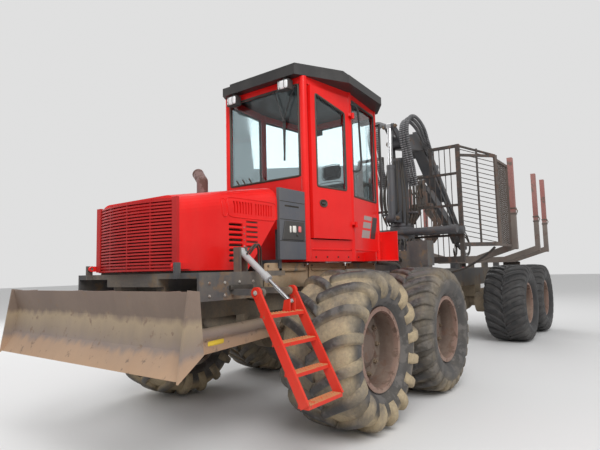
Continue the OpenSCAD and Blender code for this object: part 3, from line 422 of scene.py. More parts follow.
def banded(finish, axis, low, high, bands, fold=None, wobble=0.0, streaks=(1, 1, 1)):
    """Coat of an aged material in bands along an axis. The place from low to high picks the colour,
    moved by wobble times a noise, and with fold the place is the distance from zero less fold."""
    n, link = finish.node_tree.nodes, finish.node_tree.links.new
    place, parts = n.new("ShaderNodeTexCoord"), n.new("ShaderNodeSeparateXYZ")
    link(place.outputs["Object"], parts.inputs["Vector"])
    value = parts.outputs[axis]
    if fold is not None:
        for operation, other in (("ABSOLUTE", 0), ("SUBTRACT", fold)):
            step = n.new("ShaderNodeMath")
            step.operation = operation
            link(value, step.inputs[0])
            step.inputs[1].default_value = other
            value = step.outputs[0]
    stretch, texture = n.new("ShaderNodeMapping"), n.new("ShaderNodeTexNoise")
    stretch.inputs["Scale"].default_value = streaks
    texture.inputs["Scale"].default_value = 5
    texture.inputs["Detail"].default_value = 6
    link(place.outputs["Object"], stretch.inputs["Vector"])
    link(stretch.outputs["Vector"], texture.inputs["Vector"])
    moved = n.new("ShaderNodeMath")
    moved.operation = "MULTIPLY_ADD"
    link(texture.outputs["Fac"], moved.inputs[0])
    moved.inputs[1].default_value = wobble
    link(value, moved.inputs[2])
    spread, ramp = n.new("ShaderNodeMapRange"), n.new("ShaderNodeValToRGB")
    spread.inputs["From Min"].default_value = low + wobble / 2
    spread.inputs["From Max"].default_value = high + wobble / 2
    link(moved.outputs[0], spread.inputs["Value"])
    link(spread.outputs["Result"], ramp.inputs["Fac"])
    for place_on, colour in bands[1:-1]:
        ramp.color_ramp.elements.new(place_on)
    for stop, (place_on, colour) in zip(ramp.color_ramp.elements, bands):
        stop.position = place_on
        stop.color = (*colour, 1)
    worn = next(k for k in n if k.type == "GROUP")
    link(ramp.outputs["Color"], worn.inputs["Coat"])
    return finish


# the coat in bands from the disc out to the lip; the dark band on the barrel between them is painted shade
# inside the dish
banded(rim_rust_and_shade, "Y", disc_in, lip_out, (
    (0.0, (0.19, 0.160, 0.140)), (0.16, (0.25, 0.200, 0.165)), (0.28, (0.085, 0.052, 0.042)),
    (0.80, (0.12, 0.068, 0.052)), (0.90, (0.20, 0.110, 0.085)), (1.0, (0.24, 0.135, 0.105))),
    fold=track_half)


def hex_nuts(places, axis, radius, height):
    """Six-sided nuts with a stud in each, standing out of the places along an axis: two hexagons
    and a smaller ring for each, with their end closed."""
    axis = np.asarray(axis, float)
    side = np.cross(axis, [0.3, 0.5, 0.81])
    side /= np.linalg.norm(side)
    other = np.cross(axis, side)
    parts = []
    rings = ((1.0, 0), (1.0, 0.8), (0.88, 1.0), (0.5, 1.0), (0.5, 1.5), (0.4, 1.6))
    a = np.arange(12) * np.pi / 6
    for p in np.asarray(places, float):
        shape = [p + radius * r * (np.cos(a)[:, None] * side + np.sin(a)[:, None] * other)
                 * (1 if r < 0.6 else (1 - 0.13 * (np.arange(12) % 2))[:, None]) + axis * height * h
                 for r, h in rings]
        parts.append((np.stack(shape), grid_faces(len(rings), 12, wrap_columns=True)
                      + [[(len(rings) - 1) * 12 + k for k in range(12)]]))
    return parts


def paint_nodes(finish, *names):
    """Gives the frame's nodes of these names a finish."""
    for name in names:
        nodes[name].material_slots[0].material = finish


stud_angle = np.arange(10) * np.pi / 5
for name, x, side in wheels:
    paint_nodes(rim_rust_and_shade, "rim_" + name)
    places = np.stack([x + stud_ring_r * np.cos(stud_angle), np.full(10, side * (track_half + stud_out)),
                       hub_z + stud_ring_r * np.sin(stud_angle)], axis=1)
    nuts = hex_nuts(places, (0, side, 0), nut_r, nut_h)
    piece("wheel_nuts_" + name, nuts, stud_rust, "wheel_" + name, smooth=False)

# Frames, axles and deck
# Two welded box frames that meet at the steering pivot, with a bogie axle under each, and a deck
# around the engine. Everything is sprayed dark and carries old dirt and oil.
frame_coat, frame_below, road_dirt = (0.045, 0.052, 0.066), (0.13, 0.080, 0.050), (0.27, 0.215, 0.15)
frame_paint = aged("frame_paint", frame_coat, frame_below, dust=road_dirt, rubbed=0.35, dusty=0.5,
                   splash=1.25, grain=5, gloss=0.45)
axle_iron = aged("axle_iron", (0.035, 0.032, 0.030), (0.09, 0.06, 0.045), dust=road_dirt, rubbed=0.4,
                 dusty=0.85, splash=1.2, grain=6, gloss=0.5)
engine_iron = aged("engine_iron", (0.05, 0.05, 0.05), (0.08, 0.05, 0.04), dust=road_dirt, rubbed=0.3,
                   dusty=0.35, grain=8, gloss=0.5)
paint_nodes(frame_paint, "front_frame", "rear_frame", "valve_tank")
paint_nodes(axle_iron, "front_axle", "rear_axle")
paint_nodes(engine_iron, "engine")
black_rubber = aged("black_rubber", (0.012, 0.012, 0.013), (0.035, 0.033, 0.032), dust=road_dirt,
                    rubbed=0.25, dusty=0.25, splash=1.2, grain=16, gloss=0.42, relief=0.002)
bolt_zinc = aged("bolt_zinc", (0.42, 0.40, 0.37), (0.22, 0.13, 0.09), dust=road_dirt, rubbed=0.5, dusty=0.25,
                 grain=30, gloss=0.35)


def tube(path, radius, across, sides=10, closed=False):
    """Round bar along a path: circles of the given radius, one number or one for each point, set
    square to the path. Their first direction is the part of across that is square to the path."""
    path, across = np.asarray(path, float), np.asarray(across, float)
    if closed:
        along = np.roll(path, -1, 0) - np.roll(path, 1, 0)
    else:
        along = np.gradient(path, axis=0)
    along /= np.linalg.norm(along, axis=1)[:, None]
    first = across - (along @ across)[:, None] * along
    first /= np.linalg.norm(first, axis=1)[:, None]
    other = np.cross(along, first)
    a = np.linspace(0, 2 * np.pi, sides, endpoint=False)[None, :, None]
    r = np.broadcast_to(radius, len(path))[:, None, None]
    rings = path[:, None] + r * (np.cos(a) * first[:, None] + np.sin(a) * other[:, None])
    faces = grid_faces(len(path), sides, wrap_rows=closed, wrap_columns=True)
    if not closed:
        last = sides * (len(path) - 1)
        faces += [list(range(sides))[::-1], list(range(last, last + sides))]
    return rings, faces


def hose(points, count, radius, across, sides=10):
    """Round bar along a smooth line through the points, with as many circles as count says."""
    return tube(soft_line(points, count), radius, across, sides)


def raised(outline, steps, at, u, v):
    """Closed form on a flat outline that runs counter-clockwise in u and v from the point at. Each
    ring is the outline scaled by a step's first number and lifted along u x v by its second."""
    outline, u, v, at = (np.asarray(k, float) for k in (outline, u, v, at))
    steps = np.asarray(steps, float)
    out = np.cross(u, v)
    flat = outline[:, :1] * u + outline[:, 1:] * v
    rings = at + steps[:, :1, None] * flat[None] + steps[:, 1:, None] * out
    count, last = len(flat), len(flat) * (len(steps) - 1)
    faces = grid_faces(len(steps), count, wrap_columns=True)
    faces += [list(range(count))[::-1], list(range(last, last + count))]
    return rings, faces


def rounded(width, height, power=5, count=28):
    """Outline of a rounded rectangle, the curve |x / a|^power + |y / b|^power = 1. With a power of 2
    it is an ellipse."""
    a = np.linspace(0, 2 * np.pi, count, endpoint=False)
    c, s = np.cos(a), np.sin(a)
    return np.stack([width / 2 * np.sign(c) * np.abs(c)**(2 / power),
                     height / 2 * np.sign(s) * np.abs(s)**(2 / power)], axis=1)


# bolts along the deck's side plates, and a step bar on the left one
deck_side, small_bolt = 0.7705, (0.011, 0.008)
for name, s in (("left", 1), ("right", -1)):
    places = [(x, s * deck_side, z) for x in (4.02, 4.17, 4.32, 4.47) for z in (1.155, 1.245)]
    bolts = hex_nuts(places, (0, s, 0), *small_bolt)
    piece("deck_bolts_" + name, bolts, bolt_zinc, "front_unit", smooth=False)
shape = raised(rounded(0.24, 0.038, 8), ((0.96, 0), (1, 0.004), (1, 0.024), (0.95, 0.03)),
               (4.16, deck_side - 0.0003, 1.205), (-1, 0, 0), (0, 0, 1))
piece("step_bar", [shape], black_rubber, "front_unit", bevel=0.002)
# hydraulic hoses that arch over the steering pivot from the cab's floor to the valve block
pivot_hose_y, hose_r = (-0.23, -0.17, -0.11, -0.05, 0.05, 0.11, 0.17, 0.23), 0.014
parts = []
for k, y in enumerate(pivot_hose_y):
    sag = 0.012 * (k % 3)
    parts.append(hose([(1.42, y, 1.33), (1.12, y, 1.33 + sag), (0.80, 1.15 * y, 1.39 + sag),
                       (0.50, 1.3 * y, 1.47), (0.30, 1.15 * y, 1.465 - sag), (0.18, y, 1.43 - sag)], 48,
                      hose_r, (0, 1, 0)))
pivot_hoses = piece("pivot_hoses", parts, black_rubber, None)
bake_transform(pivot_hoses)
# dusty plates with a bead along the top that close the space between the frame and the cab's floor
plate_tan = aged("plate_tan", (0.075, 0.080, 0.090), (0.30, 0.165, 0.075), dust=(0.40, 0.31, 0.21),
                 rubbed=0.75, dusty=0.6, splash=1.5, grain=4, gloss=0.55, relief=0.004)
parts = []
for s in (1, -1):
    for x, wide in ((3.20, 0.66), (2.50, 0.70), (1.79, 0.68)):
        parts.append(raised(rounded(wide, 0.230, 16, 40), ((1, 0), (1, 0.008), (0.99, 0.011)),
                            (x, s * 0.455, 1.275), (-s, 0, 0), (0, 0, 1)))
        parts.append(raised(rounded(wide * 0.9, 0.030, 5, 30), ((1, 0), (1, 0.010), (0.93, 0.014)),
                            (x, s * 0.466, 1.325), (-s, 0, 0), (0, 0, 1)))
piece("cab_bed_plates", parts, plate_tan, "front_unit")
places = [(x, s * 0.4662, z) for s in (1, -1) for x in (3.48, 2.92, 2.80, 2.20, 2.08, 1.50)
          for z in (1.20, 1.365)]
bolts = hex_nuts(places[:12], (0, 1, 0), *small_bolt) + hex_nuts(places[12:], (0, -1, 0), *small_bolt)
piece("cab_bed_bolts", bolts, stud_rust, "front_unit", smooth=False)
# the loop of pipe behind the left fender
shape = hose([(1.44, 0.48, 1.385), (1.33, 0.56, 1.37), (1.17, 0.62, 1.36), (1.05, 0.62, 1.26),
              (1.03, 0.60, 1.11), (1.10, 0.54, 0.98), (1.24, 0.44, 0.93), (1.36, 0.34, 0.96),
              (1.44, 0.325, 1.02)], 90, 0.021 + 0.0025 * (np.arange(90) % 2), (0.2, 1, 0.3), 12)
piece("fender_hose", [shape], black_rubber, "front_unit")

# Blade
# A curved steel mouldboard on two push arms, each an upright plate with a tube along its top. The
# face is worn brown, scratched across, streaked with rust from its top edge and painted with the light and
# shade of its curve.
blade_rust = aged("blade_rust", (0.26, 0.175, 0.125), (0.205, 0.140, 0.100), dust=(0.36, 0.29, 0.22),
                  rubbed=0.30, dusty=0.22, splash=0.4, grain=13, gloss=0.5, relief=0.003)
chrome = bpy.data.materials.new("chrome")
chrome.use_nodes = True
chrome_shader = chrome.node_tree.nodes["Principled BSDF"]
chrome_shader.inputs["Base Color"].default_value = (0.62, 0.62, 0.63, 1)
chrome_shader.inputs["Metallic"].default_value = 1
chrome_shader.inputs["Roughness"].default_value = 0.16
cylinder_paint = aged("cylinder_paint", (0.055, 0.060, 0.068), (0.13, 0.08, 0.06), dust=road_dirt,
                      rubbed=0.3, dusty=0.35, splash=1.1, grain=8, gloss=0.4)
# the coat in bands up the face: the light low facet is the worn edge with a painted highlight, the dark band
# at its crease is painted shade, and the dark top is rust from the top edge with painted shade under the
# curl; the wobble streaks the bands
banded(blade_rust, "Z", 0.71, 1.22, (
    (0.0, (0.43, 0.27, 0.165)), (0.22, (0.38, 0.245, 0.16)), (0.30, (0.22, 0.170, 0.150)),
    (0.42, (0.25, 0.190, 0.140)), (0.60, (0.33, 0.250, 0.160)), (0.69, (0.155, 0.108, 0.084)),
    (1.0, (0.175, 0.118, 0.092))), wobble=0.12, streaks=(1.5, 2.4, 0.35))
paint_nodes(blade_rust, "blade")
paint_nodes(cylinder_paint, "blade_barrels")
paint_nodes(chrome, "blade_rods", "ladder_rod", "lift_rod", "jib_rod")
worn_yellow = aged("worn_yellow", (0.80, 0.56, 0.02), (0.35, 0.25, 0.12), dust=(0.4, 0.32, 0.2), rubbed=0.3,
                   dusty=0.3, splash=0.6, grain=24, gloss=0.45)
shape = raised(rounded(0.16, 0.036, 7), ((1, 0), (0.985, 0.0008)), (4.30, 0.6552, 0.812), (-0.999, 0, 0.04),
               (0.04, 0, 0.999))
piece("arm_sticker", [shape], worn_yellow, "blade")
nuts = []
for s in (1, -1):
    nuts += hex_nuts([(3.56, s * 0.656, 0.86)], (0, s, 0), 0.042, 0.022)
piece("arm_pin_nuts", nuts, stud_rust, "blade", smooth=False)
# two hoses to each of the blade's cylinders
parts = []
for s in (1, -1):
    for lift in (0, 0.035):
        parts.append(hose([(3.90 + lift, s * 0.475, 1.165), (3.88 + lift, s * 0.53, 1.15),
                           (3.80, s * 0.57, 1.12 + lift), (3.70, s * 0.53, 1.08 + lift),
                           (3.64, s * 0.42, 1.07 + lift), (3.60, s * 0.31, 1.08 + lift)], 40,
                          0.010, (0, 0, 1), 8))
blade_hoses = piece("blade_hoses", parts, black_rubber, None)
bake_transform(blade_hoses)

# Hood, grille and exhaust
# A pressed red hood that tilts forwards over a plain engine block, with a bowed grille of flat
# slats in front, painted a darker red as shade, and a rust-brown exhaust through its top.
# the grille's red is the hood's red darkened: painted shade on the grille
red, red_below, grille_red_in_shade = (0.78, 0.006, 0.006), (0.30, 0.030, 0.024), (0.46, 0.006, 0.008)
red_paint = aged("red_paint", red, red_below, dust=(0.45, 0.20, 0.15), rubbed=0.04, dusty=0.07, splash=0.7,
                 grain=9, gloss=0.30, relief=0.001, coat_weight=0.10, specular=0.22)
grille_paint_in_shade = aged("grille_paint_in_shade", grille_red_in_shade, red_below, dust=(0.40, 0.18, 0.15), rubbed=0.06, dusty=0.12,
                    splash=0.7, grain=14, gloss=0.35, relief=0.001, specular=0.25)
gap_black = aged("gap_black", (0.006, 0.005, 0.005), (0.02, 0.02, 0.02), rubbed=0.1, dusty=0.1, grain=20,
                 gloss=0.8)
exhaust_rust = aged("exhaust_rust", (0.20, 0.115, 0.105), (0.10, 0.05, 0.04), dust=(0.25, 0.2, 0.17),
                    rubbed=0.5, dusty=0.3, grain=14, gloss=0.55)
paint_nodes(red_paint, "hood")
paint_nodes(grille_paint_in_shade, "grille")
paint_nodes(exhaust_rust, "exhaust")
hood_back, hood_len, hood_high, hood_fall = 3.41, 1.11, 2.09, 0.19
hood_half, edge_r = 0.52, 0.15
slat_foot, slat_top, slat_pitch, lip_pitch, stud_pitch = 1.801, 1.899, 0.034, 0.042, 0.052


def hood_top(x):
    """Height of the hood's flat top, which falls in a straight line from its back to its front."""
    return hood_high - hood_fall * (x - hood_back) / hood_len


def hood_side(x, z):
    """How far out the hood's side is: upright, then a quarter circle over the shoulder."""
    up = np.clip(z - hood_top(x) + edge_r, 0, edge_r - 0.001)
    return hood_half - edge_r + np.sqrt(edge_r**2 - up**2)


def frame_line(corners, turn=0.02):
    """Closed line round the corners. At each it leaves the edge a short turn before the corner and
    passes a quarter of the way inside it."""
    p = np.asarray(corners, float)
    back, on = np.roll(p, 1, 0) - p, np.roll(p, -1, 0) - p
    a = p + turn * back / np.linalg.norm(back, axis=1)[:, None]
    b = p + turn * on / np.linalg.norm(on, axis=1)[:, None]
    return np.stack([a, 0.25 * a + 0.5 * p + 0.25 * b, b], axis=1).reshape(-1, 3)


# pressed edge around the upright louvres and around the pull in front of them
parts, gaps, fins, lips, studs = [], [], [], [], []
for s in (1, -1):
    for cx, cz, wide, high, power in ((3.722, 1.848, 0.60, 0.165, 9), (4.062, 1.838, 0.060, 0.150, 2.6)):
        line = rounded(wide, high, power, 96) + (cx, cz)
        path = np.column_stack([line[:, 0], s * hood_side(*line.T), line[:, 1]])
        parts.append(tube(path, 0.0055, (0, 1, 0), 8, True))
    # seams along the top, at the shoulder
    for y, end in ((0.335, 4.49), (0.295, 4.05)):
        x = np.linspace(3.42, end, 30)
        path = np.column_stack([x, np.full(30, s * y), hood_top(x)])
        gaps.append(tube(path, 0.0028, (0, 1, 0), 6))
    # slanted slats in the upright louvres, open to the front
    slat = np.array([(-0.0075, -0.020), (-0.0045, -0.020), (0.0075, 0.0), (0.0045, 0.0)])[::s] * (s, 1)
    for x in np.append(3.488 + slat_pitch * np.arange(7), 3.748 + slat_pitch * np.arange(7)):
        tall = min(slat_top, hood_top(x) - 0.125) - slat_foot
        fins.append(raised(slat, ((1, 0), (1, tall)), (x, s * (hood_half - 0.0005), slat_foot), (s, 0, 0),
                           (0, s, 0)))
    # pressed lips over the level louvres, the rear group with its slits, black strips under the lips that
    # are painted shade in the openings
    u, v = (-s, 0, 0), (0, 0, 1)
    for x, low, count, slit in ((3.94, 1.418, 8, False), (3.745, 1.530, 6, True)):
        for z in low + lip_pitch * np.arange(count):
            lips.append(raised(rounded(0.150, 0.018, 3, 20),
                               ((1, 0), (0.94, 0.004), (0.72, 0.0075), (0.3, 0.009)),
                               (x, s * (hood_half - 0.0002), z + 0.009), u, v))
            if slit:
                gaps.append(raised(rounded(0.146, 0.011, 6, 20), ((1, 0), (0.98, 0.0006)),
                                   (x, s * (hood_half + 0.0001), z - 0.006), u, v))
    places = [(3.842, s * (hood_half + 0.0002), z) for z in 1.425 + stud_pitch * np.arange(6)]
    studs += hex_nuts(places, (0, s, 0), 0.0065, 0.004)
for name, shapes, finish, slot, smooth in (
        ("hood_edges", parts + lips, red_paint, "red_paint", True),
        ("hood_slats", fins, red_paint, "red_paint", False),
        ("hood_seams", gaps, gap_black, "roof_plastic", False),
        ("hood_studs", studs, bolt_zinc, "grapple_steel", False)):
    piece(name, shapes, finish, "hood", smooth)
# woven screen behind the slats, bowed as they are, in a dark red that is painted shade in the grille's depth
bow_x, bow_r = 3.0628, 1.5075
y, z = np.meshgrid(np.linspace(-0.455, 0.455, 41), np.linspace(1.40, 1.755, 3))
points = np.stack([bow_x + np.sqrt(bow_r**2 - y**2), y, z], axis=-1)
screen_red_in_shade = aged("screen_red_in_shade", (0.20, 0.004, 0.006), (0.05, 0.01, 0.01), dust=(0.25, 0.10, 0.08),
                  rubbed=0.2, dusty=0.3, grain=40, gloss=0.6, relief=0.003)
screen = piece("grille_screen", [(points, grid_faces(3, 41))], screen_red_in_shade, "hood")
wall = screen.modifiers.new("wall", "SOLIDIFY")
wall.thickness = 0.002
# rubber seal on the deck round the hood's foot
seal_z = 1.327
y = np.linspace(-0.500, 0.500, 25)
front = np.column_stack([4.548 - 0.16 * y**2, y, np.full(25, seal_z)])
line = frame_line([(4.505, 0.500, seal_z), (3.86, 0.490, seal_z), (3.86, -0.490, seal_z),
                   (4.505, -0.500, seal_z)], 0.03)
shape = tube(np.concatenate([front, line[3:9]]), 0.0078, (0, 0, 1), 8, True)
piece("hood_seal", [shape], black_rubber, "front_unit")
# rolled lip of the exhaust, and a black disc across its mouth: the bore's soot with painted shade inside the
# pipe
exhaust_end, exhaust_way = np.array((3.50, -0.43, 2.32)), np.array((-0.06, -0.13, 0.10)) / 0.1746
level = np.cross(exhaust_way, (0, 0, 1))
level /= np.linalg.norm(level)
upright = np.cross(exhaust_way, level)
lip_steps = ((0.0555, -0.020), (0.0575, -0.014), (0.0575, 0.001), (0.0545, 0.004), (0.0505, 0.003),
             (0.0500, 0.0006))
shape = raised(rounded(2, 2, 2, 32), lip_steps, exhaust_end, level, upright)
piece("exhaust_lip", [shape], exhaust_rust, "hood")
shape = raised(rounded(2, 2, 2, 32), ((0.0498, 0.0004), (0.0490, 0.0012)), exhaust_end, level, upright)
piece("exhaust_bore", [shape], gap_black, "hood")

# Cab
# A welded red cab with a black plastic roof, tinted windows, slate panels at its front corners and
# a door on the left.
roof_plastic = aged("roof_plastic", (0.016, 0.016, 0.017), (0.03, 0.03, 0.03), dust=(0.12, 0.11, 0.10),
                    rubbed=0.1, dusty=0.25, grain=10, gloss=0.38)
slate_paint = aged("slate_paint", (0.070, 0.082, 0.105), (0.10, 0.09, 0.08), dust=road_dirt, rubbed=0.15,
                   dusty=0.2, grain=9, gloss=0.4)
cab_plastic = aged("cab_plastic", (0.030, 0.030, 0.032), (0.05, 0.05, 0.05), dust=(0.2, 0.18, 0.15),
                   rubbed=0.1, dusty=0.2, grain=12, gloss=0.5)
tinted_glass = bpy.data.materials.new("tinted_glass")
tinted_glass.use_nodes = True
glass_nodes, glass_links = tinted_glass.node_tree.nodes, tinted_glass.node_tree.links
glass_shader = glass_nodes["Principled BSDF"]
glass_shader.inputs["Base Color"].default_value = (0.62, 0.70, 0.72, 1)
glass_shader.inputs["Transmission Weight"].default_value = 1
glass_shader.inputs["IOR"].default_value = 1.45
glass_place, glass_film = glass_nodes.new("ShaderNodeTexCoord"), glass_nodes.new("ShaderNodeTexNoise")
glass_film.inputs["Scale"].default_value = 3
glass_film.inputs["Detail"].default_value = 6
glass_rough = glass_nodes.new("ShaderNodeMapRange")
glass_rough.inputs["From Min"].default_value = 0.45
glass_rough.inputs["To Min"].default_value = 0.01
glass_rough.inputs["To Max"].default_value = 0.16
glass_links.new(glass_place.outputs["Object"], glass_film.inputs["Vector"])
glass_links.new(glass_film.outputs["Fac"], glass_rough.inputs["Value"])
glass_links.new(glass_rough.outputs["Result"], glass_shader.inputs["Roughness"])
paint_nodes(red_paint, "cab_shell", "cab_door")
paint_nodes(roof_plastic, "cab_roof", "cab_rails")
paint_nodes(slate_paint, "side_panels")
paint_nodes(cab_plastic, "roof_lamps", "cab_seat", "cab_console")
paint_nodes(tinted_glass, "cab_glass", "door_glass")
lamp_white = aged("lamp_white", (0.86, 0.87, 0.88), (0.6, 0.6, 0.58), dust=(0.5, 0.45, 0.38), rubbed=0.1,
                  dusty=0.1, grain=20, gloss=0.12, coat_weight=0.6)
beacon_orange = aged("beacon_orange", (0.90, 0.21, 0.01), (0.6, 0.15, 0.02), dust=(0.5, 0.3, 0.15),
                     rubbed=0.1, dusty=0.15, grain=20, gloss=0.12, coat_weight=0.6)
plate_grey = aged("plate_grey", (0.34, 0.29, 0.29), (0.45, 0.40, 0.38), rubbed=0.3, dusty=0.2, grain=12,
                  gloss=0.35)
label_white = aged("label_white", (0.80, 0.79, 0.74), (0.5, 0.45, 0.4), rubbed=0.2, dusty=0.15, grain=24,
                   gloss=0.4)
label_red = aged("label_red", (0.72, 0.16, 0.17), (0.6, 0.5, 0.45), rubbed=0.2, dusty=0.15, grain=24,
                 gloss=0.4)
cab_x, cab_y = (2.95, 2.25, 1.48), (0.52, 0.62, 0.52)
belt_z, screen_z, header_z, post = 2.11, 2.25, 3.20, 0.04
left_front, left_middle, left_rear = ((x, y) for x, y in zip(cab_x, cab_y))
right_front, right_middle, right_rear = ((x, -y) for x, y in zip(cab_x, cab_y))


def wall_axes(p, q):
    """Along, up and out of the wall from corner p to corner q, walked with the cab on the left."""
    along = np.append(np.subtract(q, p), 0) / math.dist(p, q)
    return along, np.array((0.0, 0, 1)), np.cross(along, (0, 0, 1))


def on_wall(p, q, places):
    """Points in space for (along, up, out) places on the wall from corner p to corner q."""
    along, up, out = wall_axes(p, q)
    s = np.asarray(places, float)
    return np.append(p, 0) + s[:, :1] * along + s[:, 1:2] * up + s[:, 2:] * out


# black rubber seals around the panes
seals = []
for p, q, low in (
        (right_front, left_front, screen_z), (left_middle, left_rear, belt_z),
        (left_rear, right_rear, belt_z), (right_rear, right_middle, belt_z),
        (right_middle, right_front, belt_z)):
    a, b = post + 0.004, math.dist(p, q) - post - 0.004
    line = frame_line([(a, low + 0.004, 0.023), (b, low + 0.004, 0.023), (b, header_z - 0.004, 0.023),
                       (a, header_z - 0.004, 0.023)])
    seals.append(tube(on_wall(p, q, line), 0.012, wall_axes(p, q)[2], 8, True))
piece("window_seals", seals, black_rubber, "front_unit")
# the door: a seal that slants at the top, the wedge above it, a keyed pull in an oval cup
door_a, door_b, door_face = 0.120, 0.587, 0.0505
slant = [(door_a, 3.12), (door_b, 3.12), (door_b, 3.00), (door_a, 3.115)]
u, v, out = wall_axes(left_front, left_middle)
wedge = [(a, z - 2) for a, z in slant[::-1]]
shape = raised(wedge, ((1, 0.034), (1, 0.0495)), np.append(left_front, 2), u, v)
piece("door_wedge", [shape], red_paint, "door", smooth=False)
line = frame_line([(door_a + 0.004, 2.154, 0.048), (door_b - 0.004, 2.154, 0.048),
                   (door_b - 0.004, 3.0, 0.048), (door_a + 0.004, 3.112, 0.048)])
shape = tube(on_wall(left_front, left_middle, line), 0.011, out, 8, True)
piece("door_seal", [shape], black_rubber, "door")
cup_at = on_wall(left_front, left_middle, [(0.205, 1.985, door_face - 0.0005)])[0]
cup_steps = ((0.97, 0), (1, 0.004), (0.97, 0.008), (0.86, 0.009), (0.80, 0.006), (0.76, 0.001))
shape = raised(rounded(0.115, 0.078, 2.4, 36), cup_steps, cup_at, u, v)
piece("door_cup", [shape], black_rubber, "door")
pull_steps = ((0.9, 0.001), (1, 0.004), (1, 0.010), (0.85, 0.013))
shape = raised(rounded(0.060, 0.022, 4, 24), pull_steps, cup_at, u, v)
piece("door_pull", [shape], cab_plastic, "door")
# pressed bead and bolt heads along the foot of both sides
beads, heads = [], []
for p, q in ((left_front, left_middle), (left_middle, left_rear), (right_rear, right_middle),
             (right_middle, right_front)):
    a = np.linspace(0.045, math.dist(p, q) - 0.045, 12)
    path = on_wall(p, q, np.stack([a, 0 * a + 1.52, 0 * a + 0.024], axis=1))
    beads.append(tube(path, 0.009, (0, 0, 1), 8))
    a = a[1:-1:3]
    places = on_wall(p, q, np.stack([a, 0 * a + 1.445, 0 * a + 0.0252], axis=1))
    heads += hex_nuts(places, wall_axes(p, q)[2], 0.009, 0.006)
piece("cab_beads", beads, red_paint, "front_unit")
piece("cab_bolts", heads, gap_black, "front_unit", smooth=False)
# blank slanted decals on the sides behind the door
decal_foot, decal_top, decal_lean = 1.665, 1.925, 0.4
pale, dark = [], []
for p, q, turned in ((left_middle, left_rear, 1), (right_rear, right_middle, -1)):
    u, v, out = wall_axes(p, q)
    for z0, z1, a0, a1, shapes in (
            (decal_foot, 1.755, 0.22, 0.46, pale), (1.780, 1.850, 0.22, 0.46, pale),
            (1.875, decal_top, 0.22, 0.46, pale), (decal_foot, decal_top, 0.49, 0.64, dark)):
        low, high = decal_lean * (z0 - decal_foot), decal_lean * (z1 - decal_foot)
        outline = np.array([(a0 + low, z0), (a1 + low, z0), (a1 + high, z1), (a0 + high, z1)])
        if turned < 0:
            outline = np.stack([math.dist(p, q) - outline[::-1, 0], outline[::-1, 1]], axis=1)
        outline[:, 1] -= 2
        shapes.append(raised(outline, ((1, 0.0252), (1, 0.0262)), np.append(p, 2), u, v))
for name, shapes, finish in (("pale_decals", pale, plate_grey), ("dark_decals", dark, roof_plastic)):
    piece(name, shapes, finish, "front_unit", smooth=False)
# bent bar in front of the left rear window
path = on_wall(left_middle, left_rear, soft_line([
    (0.0, 3.135, 0.035), (0.045, 3.13, 0.07), (0.095, 3.06, 0.085), (0.118, 2.85, 0.085),
    (0.137, 2.60, 0.085), (0.142, 2.48, 0.085), (0.115, 2.41, 0.075), (0.05, 2.39, 0.05),
    (0.0, 2.39, 0.03)], 60))
shape = tube(path, 0.012, (0.3, 1, 0.1))
piece("window_bar", [shape], roof_plastic, "front_unit")
# wiper: two rods from the header to a knuckle, and a blade on an arm
arms = []
knuckle = (0.808, 2.85, 0.034)
for top, middle in (((0.69, 3.19, 0.03), (0.75, 3.02, 0.034)), ((0.957, 3.19, 0.03), (0.88, 3.02, 0.034))):
    path = on_wall(right_front, left_front, soft_line([top, middle, knuckle], 12))
    arms.append(tube(path, 0.0065, (1, 0, 0), 8))
path = soft_line([(0.855, 2.93, 0.036), knuckle, (0.803, 2.70, 0.028), (0.798, 2.52, 0.020)], 24)
arms.append(tube(on_wall(right_front, left_front, path), 0.007, (1, 0, 0), 8))
path = np.linspace((0.812, 2.86, 0.015), (0.796, 2.44, 0.015), 16)
arms.append(tube(on_wall(right_front, left_front, path), 0.0105, (1, 0, 0), 6))
arms.append(raised(rounded(0.035, 0.035, 2, 16), ((0.9, 0), (1, 0.004), (1, 0.02), (0.8, 0.026)),
                   on_wall(right_front, left_front, [(0.808, 2.85, 0.022)])[0], (0, 1, 0), (0, 0, 1)))
piece("wiper", arms, roof_plastic, "front_unit")
# short black stops at the foot of the windscreen
stops = []
for a in (0.16, 0.25, 0.345, 0.52):
    path = soft_line([(a, 2.235, 0.015), (a, 2.262, 0.022), (a - 0.03, 2.315, 0.03)], 10)
    stops.append(tube(on_wall(right_front, left_front, path), 0.0095, (1, 0, 0), 8))
piece("screen_stops", stops, black_rubber, "front_unit")
# lamp lenses behind wire guards, and the beacon's glass
guard_bow = ((-0.004, 0.56), (0.020, 0.42), (0.024, 0), (0.020, -0.42), (-0.004, -0.56))
lenses, guards = [], []
for x, z, turned, wide, high in ((3.0752, 3.19, 1, 0.122, 0.086), (1.3748, 3.195, -1, 0.104, 0.076)):
    for y in (-0.36, 0.36):
        lenses.append(raised(rounded(wide, high, 6, 28), ((1, 0), (1, 0.003), (0.95, 0.007), (0.6, 0.0095)),
                             (x, y, z), (0, turned, 0), (0, 0, 1)))
        for k in (-0.25, 0.25):
            bow = [(x + turned * out, y + k * wide, z + high * up) for out, up in guard_bow]
            guards.append(hose(bow, 20, 0.003, (0, 1, 0), 6))
piece("lamp_lenses", lenses, lamp_white, "front_unit")
piece("lamp_guards", guards, roof_plastic, "front_unit")
beacon_steps = ((0.0525, 0), (0.0525, 0.075), (0.050, 0.098), (0.042, 0.110), (0.022, 0.1165),
                (0.008, 0.118))
shape = raised(rounded(2, 2, 2, 40), beacon_steps, (2.60, 0.26, 3.4360), (1, 0, 0), (0, 1, 0))
piece("beacon_glass", [shape], beacon_orange, "front_unit")
